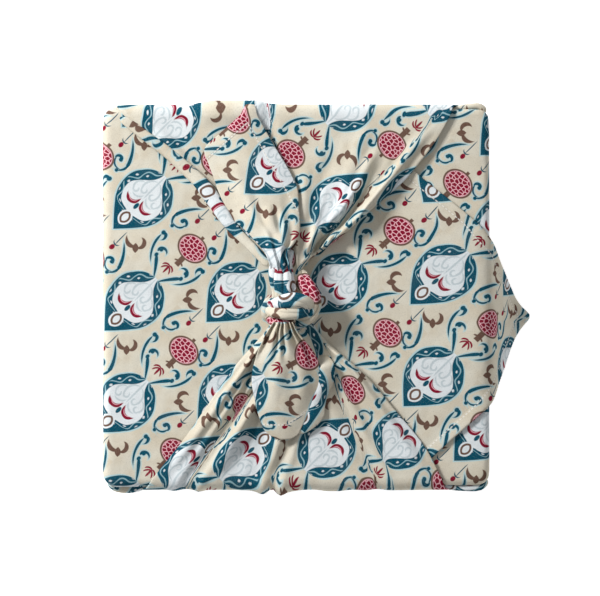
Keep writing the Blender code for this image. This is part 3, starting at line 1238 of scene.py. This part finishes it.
@dataclass
class TiedFlap:
    """The back or front corner of the cloth: up its wall, and gathered towards the knot.

    Its places are x and w, where w is the distance from the middle towards its own wall.
    """

    parcel: Parcel
    knot: Knot
    side: int  # 1 for the back, -1 for the front
    left: Table  # w, and x of the folded border
    right: Table
    pleats: tuple[Pleat, ...]
    creases: tuple[Crease, ...] = ()
    tucks: tuple[Tuck, ...] = ()
    cells: int = 84
    under_cells: int = 6
    under_width: float = 0.096
    under_share: float = 0.46  # of the flap's width, at most
    start: float = 0.0080  # w of the gathered end, inside the knot
    gathered: float = 0.0400  # w up to which the rows lie closer
    turn_cells: int = 5
    flat_t: float = 0.2974
    flat_s: float = 0.0
    ripple: float = 0.00035
    bulge: float = 0.0036  # greatest half thickness of a folded border
    under_gap: float = 0.0006  # from the lapped flap to the hidden layer
    least_gap: float = 0.0012  # and to the visible one
    softening: float = 0.0004  # how gently the visible layer meets that gap

    def lift_at(self, x: float, w: float) -> float:
        """Height of the visible layer above the parcel.

        Args:
            x: Place in plan.
            w: Distance from the middle towards the flap's own wall.

        Returns:
            The height.
        """
        y = self._plan(w)
        share = self.knot.share(self.parcel, x, y)
        angle = math.degrees(math.atan2(y - self.knot.y, x - self.knot.x)) % 360
        lift = self.parcel.lap + self.knot.lift(self.parcel, x, y)
        lift += sum(pleat.height(angle, share) for pleat in self.pleats)
        lift += sum(crease.height(x, y) for crease in self.creases)
        lift += sum(tuck.height(x, y) for tuck in self.tucks)
        lift += ripple(x, y * 1.3, self.ripple)
        least = self.parcel.lap + self.least_gap
        return least + math.log1p(math.exp((lift - least) / self.softening)) * self.softening

    def build(self, cloth: ClothMesh) -> None:
        """Adds the flap with its folded borders and the layers under them.

        Args:
            cloth: The mesh to add it to.
        """
        parcel = self.parcel
        edge = parcel.half_depth - parcel.edge
        base = edge + parcel.bend + parcel.wall + parcel.foot * 1.3
        top = ((self.start, 0), (self.gathered, 30), (edge, 58))
        rows = [self._row(w) for w in steps((*top, (edge + parcel.bend, 5), (base, 14)))]
        if self.side < 0:
            rows.reverse()
        cloth.panel(rows)

    def _row(self, w: float) -> list[Knit]:
        """One line of cloth across the flap.

        Args:
            w: Distance from the middle towards the flap's own wall.

        Returns:
            Its points, from the left hidden layer to the right one.
        """
        left, right = reading(self.left, w), reading(self.right, w)
        low = self.parcel.lap + self.under_gap
        width = min(self.under_width, self.under_share * (right - left))
        bulge_left = min((self.lift_at(left, w) - low) / 2, self.bulge)
        bulge_right = min((self.lift_at(right, w) - low) / 2, self.bulge)
        first, last = left + bulge_left, right - bulge_right
        under = [i / self.under_cells for i in range(self.under_cells + 1)]
        line = [(first + width * (1 - share), low) for share in under[:-1]]
        line += self._turn(first, -bulge_left, low, w, False)
        middle = len(line) + self.cells // 2
        over = steps(((first, 0), (last, self.cells)))
        line += [(x, self.lift_at(x, w)) for x in over]
        line += self._turn(last, bulge_right, low, w, True)
        line += [(last - width * share, low) for share in under[1:]]
        lengths = [0.0]
        for (x0, h0), (x1, h1) in zip(line, line[1:]):
            lengths.append(lengths[-1] + math.hypot(x1 - x0, h1 - h0))
        row = []
        for (x, h), length in zip(line, lengths):
            s = -(length - lengths[middle]) - line[middle][0] + self.flat_s
            s += sum(tuck.taken(x, self._plan(w)) for tuck in self.tucks)
            t = self.flat_t - w
            row.append((self.parcel.place(x, w * self.side, h), (s, t * self.side), (0.0, 0.1)))
        return row

    def _plan(self, w: float) -> float:
        """The plan's y for a distance from the middle; folds run straight down the wall."""
        return min(w, self.parcel.half_depth) * self.side

    def _turn(self, x: float, bulge: float, low: float, w: float, down: bool) -> list[Place]:
        """The half turn of a folded border, between its layers.

        Args:
            x: Where the visible layer ends.
            bulge: How far the turn stands out.
            low: Height of the hidden layer.
            w: Distance from the middle towards the flap's own wall.
            down: Whether it runs from the visible layer down.

        Returns:
            Places across and heights.
        """
        high = self.lift_at(x, w)
        half = (high - low) / 2
        points = []
        for i in range(1 if down else 0, self.turn_cells + (1 if down else 0)):
            turn = math.pi * i / self.turn_cells
            height = low + half + half * math.cos(turn) * (1 if down else -1)
            points.append((x + bulge * math.sin(turn), height))
        return points


@dataclass
class Tail:
    """A free end of the cloth, which fans out from the knot over a tied flap."""

    parcel: Parcel
    knot: Knot
    sections: Rows  # y, left and right x, lift and swell
    corner: Place  # the cloth's corner in plan
    flat_corner: Place
    turn: float  # degrees from plan to the cloth
    hems: Rows = ()  # x0, y0, x1, y1 of lines with the cloth on their right
    creases: tuple[Crease, ...] = ()
    pleats: float = 3.0
    pleat_height: float = 0.0016
    pleat_end: float = 0.6
    sway: float = 0.035  # how unevenly the pleats are spaced
    ripple: float = 0.0004
    rows: int = 84
    columns: int = 56
    gather: float = 0.0  # how much more cloth there is across, at the knot
    gather_x: float = 0.0

    def build(self, cloth: ClothMesh) -> None:
        """Adds the tail.

        Args:
            cloth: The mesh to add it to.
        """
        ys = [section[0] for section in self.sections]
        order = list(self.sections) if ys[0] < ys[-1] else list(reversed(self.sections))
        tables = [[(section[0], section[k]) for section in order] for k in range(1, 5)]
        rows = []
        for j in range(self.rows + 1):
            y = order[0][0] + (order[-1][0] - order[0][0]) * j / self.rows
            left, right, raised, swell = (reading(table, y) for table in tables)
            far = abs(y - ys[0]) / abs(ys[-1] - ys[0])
            fade = max(1 - far / self.pleat_end, 0)
            row = []
            for i in range(self.columns + 1):
                across = i / self.columns
                x = left + (right - left) * across
                lift = self.parcel.lap + self.knot.lift(self.parcel, x, y) + raised
                lift += swell * math.sin(math.pi * across)
                uneven = across + self.sway * math.sin(4.4 * math.pi * across + 0.8)
                lift += self.pleat_height * fade * math.cos(2 * math.pi * self.pleats * uneven)
                lift += sum(crease.height(x, y) for crease in self.creases)
                lift += ripple(x * 1.7, y * 1.7, self.ripple)
                wide = x + (x - self.gather_x) * self.gather * fade - self.corner[0]
                flat = rotated(wide, y - self.corner[1], self.turn, self.flat_corner)
                row.append((self.parcel.place(x, y, lift), flat, self._hem(x, y)))
            rows.append(row)
        cloth.panel(rows)

    def _hem(self, x: float, y: float) -> Place:
        """The place along and inside the nearest hem, which the tail shows as straight lines.

        Args:
            x: Place in plan.
            y: Place in plan.

        Returns:
            Both distances.
        """
        best = (0.0, 0.3)
        for hem in self.hems:
            inside, along, _ = Line(*hem).place(x, y)
            if inside < best[1]:
                best = (along, inside)
        return best


@dataclass
class Bundle:
    """A roll of gathered cloth in the knot."""

    base: float
    points: Rows  # x, y, height above base, radius
    flat: Place  # where on the cloth it starts
    turn: float = 0.0  # direction on the cloth that it runs in, in degrees
    pleats: int = 5
    depth: float = 0.12
    twist: float = 0.4
    flatness: float = 0.85
    crinkle: float = 0.06  # depth of the small creases across it
    crinkle_pitch: float = 230.0  # how fast they follow each other, in radians for each metre
    rows: int = 52
    columns: int = 64

    def build(self, cloth: ClothMesh) -> None:
        """Adds the roll as a closed tube whose ends taper inside the knot.

        Args:
            cloth: The mesh to add it to.
        """
        stations = [(float(i), point) for i, point in enumerate(self.points)]
        tables = [[(i, point[k]) for i, point in stations] for k in range(4)]
        last = len(self.points) - 1
        centres, radii = [], []
        for j in range(self.rows + 1):
            at = last * j / self.rows
            x, y, z, radius = (reading(table, at) for table in tables)
            taper = math.sqrt(max(smooth(0.0, 0.35, at) * smooth(0.0, 0.35, last - at), 0.0))
            centres.append(Vector((x, y, self.base + z)))
            radii.append(radius * (0.08 + 0.92 * taper))
        rows = []
        length = 0.0
        for j, (centre, radius) in enumerate(zip(centres, radii)):
            ahead = (centres[min(j + 1, self.rows)] - centres[max(j - 1, 0)]).normalized()
            aside = ahead.cross(Vector((0, 0, 1))).normalized()
            over = aside.cross(ahead).normalized()
            if j:
                length += (centre - centres[j - 1]).length
            row = []
            for i in range(self.columns + 1):
                turn = 2 * math.pi * i / self.columns - math.pi / 2
                phase = self.pleats * turn + self.twist * j / 6
                fine = math.cos(2 * phase + 1.7 * math.sin(turn) + 0.9 * math.sin(j / 7))
                sharp = (1 - abs(math.sin(phase / 2))) ** 1.5
                groove = 1 - self.depth * (0.8 * sharp + 0.2 * (0.5 + 0.5 * fine))
                wave = self.crinkle_pitch * length + 2.2 * math.sin(turn) + 0.7 * j / 9
                out = radius * (groove + self.crinkle * math.sin(wave))
                point = centre + aside * (out * math.cos(turn))
                point += over * (out * self.flatness * math.sin(turn))
                off = (turn - math.pi / 2) * radius * self.flatness * 1.1
                flat = rotated(length, off, self.turn, self.flat)
                row.append((point, flat, hem_place(*flat)))
            rows.append(row)
        cloth.panel(rows, weld=True)


class Layer(Enum):
    """The pieces of the wrap, from the parcel outwards."""

    WRAP = "wrapped_cloth"
    KNOT = "knot_and_tails"


class Part(Protocol):
    """Anything that adds its own panels to a cloth."""

    def build(self, cloth: ClothMesh) -> None:
        """Adds the panels."""


@dataclass
class FuroshikiWrap:
    """The whole wrap: base, side flaps, tied flaps, knot and tails."""

    parcel: Parcel = field(default_factory=Parcel)
    knot: Knot = field(default_factory=Knot)
    inset: float = 0.003  # of the base from the parcel's sides
    clear: float = 0.0008  # of the base from the floor
    lip_drop: float = 0.0060  # of the corners' rolls from the top
    cuff_lift: float = 0.0030  # of the rolled border from the flap's own surface

    def build(self, material: bpy.types.Material) -> dict[Layer, bpy.types.Object]:
        """Makes all pieces.

        Args:
            material: The cloth's finish.

        Returns:
            The finished pieces.
        """
        layers: dict[Layer, list[Part]] = {
            Layer.WRAP: [*self._side_flaps(), *self._tied_flaps(), *self._lips(), self._cuff()],
            Layer.KNOT: [*self._tails(), *self._bundles()],
        }
        pieces = {}
        for layer, parts in layers.items():
            cloth = ClothMesh()
            if layer is Layer.WRAP:
                self._base(cloth)
            for part in parts:
                part.build(cloth)
            pieces[layer] = cloth.finish(layer.value, material)
        return pieces

    def _base(self, cloth: ClothMesh) -> None:
        """The middle of the cloth, under the parcel.

        Args:
            cloth: The mesh to add it to.
        """
        half_x = self.parcel.half_width - self.inset
        half_y = self.parcel.half_depth - self.inset
        rows = []
        for y in steps(((half_y, 0), (-half_y, 24))):
            xs = steps(((-half_x, 0), (half_x, 24)))
            rows.append([(Vector((x, y, self.clear)), (-x, y), hem_place(x, y)) for x in xs])
        cloth.panel(rows)

    def _side_flaps(self) -> list[SideFlap]:
        """The right flap, which is laid first, and the left one over it.

        Returns:
            Both flaps.
        """
        under = SideFlap(
            self.parcel,
            hem=metres((-180, 115), (180, 115)),
            shift=(0.303, 0.0), lift=0.0001, from_left=False, rows=50, columns=44, ripple=0.0002,
        )
        lapped = SideFlap(
            self.parcel,
            hem=metres(
                (-180, 12), (-150, 42), (-121.2, 70.8), (-102.2, 88), (-69.4, 124.5),
                (-55.5, 137.3), (-32.2, 161.2), (-20, 174.5), (-12.5, 181.2), (-6, 174),
                (5.8, 160.4), (18.6, 145), (27, 136), (36.7, 125.4), (46.3, 117.5), (59.2, 102.2),
                (81, 75.5), (121.2, 36), (180, -22),
            ),
            shift=(0.3209, 0.016), lift=0.0013, from_left=True,
            tip_path=metres(
                (108, 56.3), (117, 56), (122.5, 54.5), (126.2, 50.8), (130.5, 42), (133.7, 35.5),
                (140, 21.5), (145, 13), (156, 4.8),
            ),
        )
        return [under, lapped]

    def _lips(self) -> list[Bundle]:
        """The small rolls that stand out at the corners, where the flaps are tucked in.

        Returns:
            The four rolls.
        """
        table = (
            # points, place and direction on the cloth, flatness: right corners, then left
            (
                metres(
                    (98, 119.4, -1, 1), (104, 121.6, -1.4, 1.4), (111, 122.9, -1.6, 1.7),
                    (118, 123, -1.6, 1.8), (121.8, 119.8, -2.4, 1.6),
                ),
                (0.2050, 0.1200), 0.0, 1.2,
            ),
            (
                metres(
                    (90, -120.4, -1, 1), (99, -122.6, -0.4, 1.5), (109, -123.2, -0.2, 1.8),
                    (118, -122.6, -0.2, 1.8), (123, -118.6, -1.4, 1.6),
                ),
                (0.1850, -0.1300), 0.0, 1.2,
            ),
            (
                metres(
                    (-95, -120, -0.6, 1.2), (-102, -122.6, -2, 2.2), (-110, -124, -3.4, 2.6),
                    (-117.5, -122.6, -3.4, 2.6), (-121.6, -118, -3.6, 2.2),
                ),
                (0.2000, -0.1700), 180.0, 1.1,
            ),
            # The top-left roll's place on the cloth brings a dark patch of the print onto it:
            # partly the print, partly painted shade for the opening at that corner.
            (
                metres(
                    (-121.2, 111, -0.4, 2), (-118.8, 117.2, 1, 3), (-113, 120, 1.6, 2.8),
                    (-106, 119.6, 1.2, 1.4),
                ),
                (0.2198, 0.0299), 17.0, 1.1,
            ),
        )
        base = self.parcel.top - self.lip_drop
        return [
            Bundle(base, points, flat, turn, flatness=flatness, rows=20, columns=16)
            for points, flat, turn, flatness in table
        ]

    def _cuff(self) -> Bundle:
        """The rolled left border of the back flap.

        Returns:
            The roll.
        """
        plan = metres(
            (-113.2, 115, 2), (-104.2, 108.7, 2.8), (-93.2, 100.3, 2.9), (-82.9, 92.6, 3.2),
            (-72.2, 83.2, 3.6), (-62.6, 74.2, 4.1), (-54.7, 64, 4.4), (-48.2, 54.2, 4),
            (-41.2, 44.6, 3.2), (-32.8, 35.8, 2.6), (-24.4, 27.2, 2.4), (-18, 20, 2.2),
        )
        points = [
            (x, y, self.knot.lift(self.parcel, x, y) + self.cuff_lift, radius)
            for x, y, radius in plan
        ]
        return Bundle(
            self.parcel.top + self.parcel.lap,
            tuple(points),
            flat=(0.1377, -0.0294), turn=25.0, pleats=2, depth=0.10, flatness=0.50, crinkle=0.025,
            rows=76, columns=24,
        )

    def _tied_flaps(self) -> list[TiedFlap]:
        """The back and the front flap.

        Returns:
            Both flaps.
        """
        back = TiedFlap(
            self.parcel, self.knot, side=1, flat_t=0.3129, flat_s=-0.0047,
            tucks=grooves(
                (-8.5, 25, -19, 118, 2.2, 4.5, 17, 0.6), (8, 27, 62, 86, 9.5, 3.6, 9, 1.6, 2),
            ),
            creases=ridges(
                (-72, 119.5, -12, 121, 13, 2.6), (-30, 122.5, -12, 122.5, 8, 1),
                (10, 45, 29, 118, 7, -1.6), (20, 42, 48, 118, 8, 1.8), (27, 48, 60, 95, 6, -1.8),
                (2, 30, 6, 90, 6, 1.6),
            ),
            left=metres(
                (8, -8), (22.5, -18.6), (48.2, -44), (48.9, -50.8), (73.3, -66.9), (97.7, -84.2),
                (105.5, -95.8), (120.2, -115.1), (130, -118), (175, -119),
            ),
            right=metres(
                (8, 4), (20.6, 5.1), (37.9, 27.6), (54.7, 46.3), (72, 66.2), (81, 74.6),
                (99.7, 88.7), (120.2, 100.3), (130, 104), (175, 111),
            ),
            pleats=fan(
                (51.5, 2.6, 3.6, 0, 0.9), (57, 2.4, -3.4, 0.04, 0.74), (61.5, 3, 2.4, 0.05, 0.8),
                (68.5, 3.4, -1.4, 0.05, 0.6), (76, 4.2, 1.8, 0.05, 0.62), (93, 3.6, 1.6, 0, 0.45),
                (126, 3.2, -1.2, 0.05, 0.75), (131, 2.4, 2.4, 0, 0.95),
            ),
        )
        front = TiedFlap(
            self.parcel, self.knot, side=-1, flat_s=0.0045,
            tucks=grooves(
                (-24, -56, -73, -123, 6.6, 4, 29, 2.2, 4), (-1, -78, -17, -123, 4, 3.8, 9, 1.6),
                (12, -30, 53, -123, 1.6, 5, 11.5, 0.4),
                (5.6, -15, 20.5, -42, 15, 5.4, 6, 2.2, 10),
            ),
            creases=ridges(
                (-28, -65, -56, -123, 6, 2.6), (-23, -70, -42, -123, 5, -1.4),
                (-42, -123.2, 8, -122.8, 11, 2.4), (10, -122.5, 36, -122.5, 9, 1.2),
            ),
            left=metres(
                (8, -13), (21.2, -19.9), (37.9, -34.7), (50.2, -44.4), (89.4, -71.4),
                (113.8, -90.7), (122.2, -97.7), (130, -104), (175, -112.4),
            ),
            right=metres(
                (8, 6), (24.4, 15.4), (39.2, 31.5), (48.9, 43.1), (74.6, 64.9), (96.5, 82.3),
                (120.9, 95.2), (130, 101), (175, 112.8),
            ),
            pleats=fan(
                (234.5, 2.8, 3.4, 0, 0.95), (241, 2.6, -4, 0.08, 1), (247.5, 3.4, 2, 0.05, 0.92),
                (256, 3, -2.8, 0.3, 1), (263, 3.6, 2.2, 0.45, 1), (272, 4, -1.2, 0.45, 0.95),
                (298.5, 3.4, -1.8, 0.1, 0.9), (305, 3, 3, 0, 0.95),
            ),
        )
        return [back, front]

    def _tails(self) -> list[Tail]:
        """The two free ends. Each section is y, its left and right x, its lift and its swell.

        Returns:
            The tails, and what shows beside the lower one.
        """
        upper = Tail(
            self.parcel, self.knot,
            sections=metres(
                (13, -16, -5, 2, 1), (20.6, -17.2, -4.6, 5.6, 3), (25.7, -19, -5.8, 6.4, 3.6),
                (29.6, -21.2, -5.2, 5.8, 4.2), (34.7, -25.7, -1.2, 5.2, 5),
                (41.8, -32.2, 1.7, 4.4, 5.2), (49.5, -41.1, 1.9, 4, 5),
                (57.2, -45.7, 1.3, 3.6, 4.5), (68.8, -50.8, 0.6, 3.4, 4),
                (76.5, -53.4, -2.6, 3.2, 3.5), (84.9, -56.6, -7.1, 3.2, 3),
                (95.2, -59.2, -13.5, 3.2, 2.5), (104.2, -50.2, -18.7, 3.4, 2),
                (112.5, -41, -23.4, 3.6, 1.4), (119.5, -33, -27.2, 4, 0.6),
            ),
            corner=(-0.0300, 0.1220), flat_corner=(-0.0260, REACH - 0.0085), turn=4.0,
            hems=metres((-59.2, 96, -30, 122.2), (-30.2, 122.2, 1.2, 67)),
            creases=ridges(
                (-14.5, 60, -9.5, 38, 3.5, -2.4), (-20, 60, -15, 38, 5, 1.4),
                (-42, 90, -23, 30, 8, 1.2),
            ),
        )
        lower = Tail(
            self.parcel, self.knot,
            sections=metres(
                (-16, -14.6, -2.6, 7, 1), (-22.5, -18.8, 1, 6.6, 3), (-31, -23, 7.8, 6, 4),
                (-38.6, -26.2, 12.7, 5.4, 4.6), (-47, -28.5, 15.6, 4.8, 4.6),
                (-56, -28.8, 15.3, 4.4, 4.4), (-65.6, -27, 11.6, 4.2, 4),
                (-73, -25.5, 8, 4.2, 3.4), (-79.1, -23.5, 5, 4.2, 2.6),
                (-84.8, -21.2, 2.2, 4.2, 1.8), (-88.4, -17.4, 0, 4.2, 1),
                (-91.2, -11.5, -5, 4.2, 0.4),
            ),
            corner=(-0.0187, -0.0489), flat_corner=(-0.0042, -0.4466), turn=14.0,
            hems=metres((-4, -88.5, -30, -88), (13, -76, -4, -88.5)),
            pleats=5.0, pleat_height=0.0032, pleat_end=0.36, gather=0.7, gather_x=0.0045,
            creases=ridges(
                (-8, -30, -18, -76, 7, 1.2), (2, -32, 6, -72, 7, 1.4),
                (-4, -40, -3, -78, 6, -0.8),
            ),
        )
        turned_edge = Tail(
            self.parcel, self.knot,
            sections=metres(
                (-37, 11, 19, -7, 0), (-40.5, 10, 22.6, -1, 1), (-44, 9, 24, 2.4, 2.4),
                (-48.9, 9, 24.4, 2.8, 2.8), (-56.6, 9, 22.5, 2.6, 2.8), (-63, 6, 19.6, 2.6, 2.6),
                (-69.4, 4, 18, 2.6, 2.4), (-75.9, 2, 17.4, 2.8, 2), (-81, 0, 14, 2.8, 1.4),
                (-85.5, -1, 8.2, 2.8, 0.8), (-87.6, 0.4, 4, 2.8, 0.2),
            ),
            corner=(0.0050, -0.0868), flat_corner=(0.1971, -0.0057), turn=-52.0, pleats=1.0,
            pleat_height=0.0, rows=60, columns=24,
        )
        # A lining sheet low in the hollow beside the lower tail. Its place on the cloth brings a
        # dark teal patch of the print there: partly the print, partly painted shade for the deep
        # hollow.
        hollow = Tail(
            self.parcel, self.knot,
            sections=metres(
                (-17, 0, 8, -7, 0), (-25, 4, 16, -7.4, 0), (-32, 8, 21.5, -7, 0),
                (-38, 11, 25, -6.2, 0), (-44, 14, 26, -5.2, 0),
            ),
            corner=(0.0135, -0.0310), flat_corner=(0.2198, 0.0299), turn=74.0, pleats=1.0,
            pleat_height=0.0, rows=24, columns=16,
        )
        return [upper, lower, turned_edge, hollow]

    def _bundles(self) -> list[Bundle]:
        """The rolls of the knot. Each point is x, y, height and radius.

        Returns:
            The rolls.
        """
        base = self.parcel.top + self.parcel.lap
        upper_wrap = Bundle(
            base,
            metres(
                (-16.7, -6, 8, 3), (-14.1, -4.2, 17.2, 3.8), (-7.7, -2.8, 23.2, 4.3),
                (0, -2, 24.8, 4.4), (5.6, -3.4, 22.4, 4.2), (9.4, -6.6, 17.2, 3.6),
            ),
            flat=(0.2161, 0.0190), turn=225.0, pleats=3, depth=0.26, flatness=0.72,
        )
        lower_wrap = Bundle(
            base,
            metres(
                (-18, -7.1, 7, 2.8), (-15.4, -9.2, 16, 3.6), (-9, -9.9, 21.6, 3.9),
                (-1.3, -9.6, 22.6, 4), (4, -9, 20.6, 3.8), (7.8, -8.2, 16, 3.4),
            ),
            flat=(0.1700, 0.0110), pleats=3, depth=0.24, flatness=0.75,
        )
        upper_neck = Bundle(
            base,
            metres(
                (-7.1, -5, 11, 6), (-7.4, 0, 17.6, 8.6), (-8.6, 5.8, 18, 8.2),
                (-10.2, 14.1, 16.6, 7.6), (-10.2, 22.5, 13.4, 7.8), (-9.6, 31, 8.5, 8.4),
            ),
            flat=(0.1908, -0.0036), turn=45.0, pleats=6, depth=0.44, flatness=0.62, twist=0.9,
        )
        right_lobe = Bundle(
            base,
            metres(
                (-0.6, 17.2, 8.5, 3.4), (3.6, 10.8, 13.5, 5), (8, 3.6, 17.6, 5.4),
                (10.6, -5, 18.2, 4.6), (7.8, -11.8, 16.4, 4.8), (2, -15.2, 14, 4.2),
                (-4.5, -16.1, 9.5, 3.4),
            ),
            flat=(0.2440, 0.0610), turn=-60.0, pleats=5, depth=0.34, flatness=0.80, twist=1.6,
        )
        collar = Bundle(
            base,
            metres(
                (-18.6, -12.2, 7, 2.8), (-14.1, -14.8, 12.5, 3.6), (-9, -15.8, 14.8, 4),
                (-3.9, -15.2, 14, 3.8), (0.6, -13.6, 10, 3),
            ),
            flat=(0.2420, 0.0530), pleats=4, depth=0.28,
        )
        lower_neck = Bundle(
            base,
            metres(
                (-8, -13, 10, 4.6), (-7.8, -18, 12.5, 7.8), (-7.8, -23, 11.5, 8.8),
                (-7.5, -29, 8, 8.6),
            ),
            flat=(-0.0200, -0.4300), turn=-76.0, pleats=8, depth=0.42, flatness=0.55, twist=0.0,
        )
        left_loop = Bundle(
            base,
            metres(
                (-15, 1, 6, 2.2), (-18.6, -4.5, 9, 2.8), (-19.8, -10, 8, 2.8), (-17, -15, 5, 2.2),
            ),
            flat=(0.1760, 0.0300), turn=-90.0,
        )
        return [upper_wrap, lower_wrap, upper_neck, right_lobe, collar, lower_neck, left_loop]


# ---- Studio ----


@dataclass
class Studio:
    """A pale floor, soft lights and a camera straight above."""

    frame_width: float = 0.3858  # what the camera sees across, at the top of the parcel
    lens: float = 150.0
    sensor: float = 36.0
    aim: Place = (0.0019, -0.0006)
    top: float = 0.0560
    glow: float = 0.72  # of the floor
    ambience: float = 0.31

    def build(self) -> None:
        """Makes the whole set."""
        self._floor()
        self._world()
        self._area("key", (-1.05, 0.80, 0.90), 0.36, 31.0)
        self._area("fill", (0.90, -0.50, 1.30), 1.20, 2.0)
        self._camera()
        bpy.context.scene.view_settings.view_transform = "Standard"

    def _floor(self) -> None:
        """A wide white sheet under the parcel."""
        mesh = bmesh.new()
        bmesh.ops.create_grid(mesh, x_segments=1, y_segments=1, size=3.0)
        data = bpy.data.meshes.new("floor")
        mesh.to_mesh(data)
        mesh.free()
        floor = bpy.data.objects.new("floor", data)
        bpy.context.scene.collection.objects.link(floor)
        material = bpy.data.materials.new("floor_white")
        material.use_nodes = True
        shader = material.node_tree.nodes["Principled BSDF"]
        shader.inputs["Base Color"].default_value = (0.93, 0.93, 0.93, 1.0)
        shader.inputs["Roughness"].default_value = 0.9
        shader.inputs["Emission Color"].default_value = (1.0, 1.0, 1.0, 1.0)
        shader.inputs["Emission Strength"].default_value = self.glow
        data.materials.append(material)
        floor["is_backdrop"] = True

    def _world(self) -> None:
        """Even light from all round."""
        world = bpy.data.worlds.new("studio")
        bpy.context.scene.world = world
        world.use_nodes = True
        background = world.node_tree.nodes["Background"]
        background.inputs["Color"].default_value = (0.96, 0.98, 1.0, 1.0)
        background.inputs["Strength"].default_value = self.ambience

    def _area(
        self, name: str, place: tuple[float, float, float], size: float, power: float
    ) -> None:
        """A soft light that points at the parcel.

        Args:
            name: The light's name.
            place: Where it stands.
            size: Its width.
            power: Watts.
        """
        light = bpy.data.lights.new(name, "AREA")
        light.size = size
        light.energy = power
        lamp = bpy.data.objects.new(name, light)
        lamp.location = place
        lamp.rotation_euler = (-Vector(place)).to_track_quat("-Z", "Y").to_euler()
        bpy.context.scene.collection.objects.link(lamp)

    def _camera(self) -> None:
        """The camera, straight above."""
        camera = bpy.data.cameras.new("camera")
        camera.lens = self.lens
        camera.sensor_width = self.sensor
        camera.sensor_fit = "HORIZONTAL"
        away = self.frame_width * self.lens / self.sensor
        rig = bpy.data.objects.new("camera", camera)
        rig.matrix_world = Matrix.Translation((self.aim[0], self.aim[1], self.top + away))
        bpy.context.scene.collection.objects.link(rig)
        bpy.context.scene.camera = rig


def corners(box: Any) -> list[list[float]]:
    """A box's two corners as plain lists."""
    return [[float(value) for value in corner] for corner in box]


def main(cad_box: list[list[float]]) -> None:
    """Builds the wrap and its set.

    Args:
        cad_box: The CAD model's box; not used.
    """
    logging.basicConfig(level=logging.INFO)
    material = PrintedCotton().build()
    log.info("material printed_cotton: %d nodes", len(material.node_tree.nodes))
    pieces = FuroshikiWrap().build(material)
    for piece in pieces.values():
        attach(piece, "root")
        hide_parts("furoshiki_cloth")
        log.info("piece %s: %d faces", piece.name, len(piece.data.polygons))
    Studio().build()


if __name__ == "__main__":
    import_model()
    main(corners(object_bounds()))
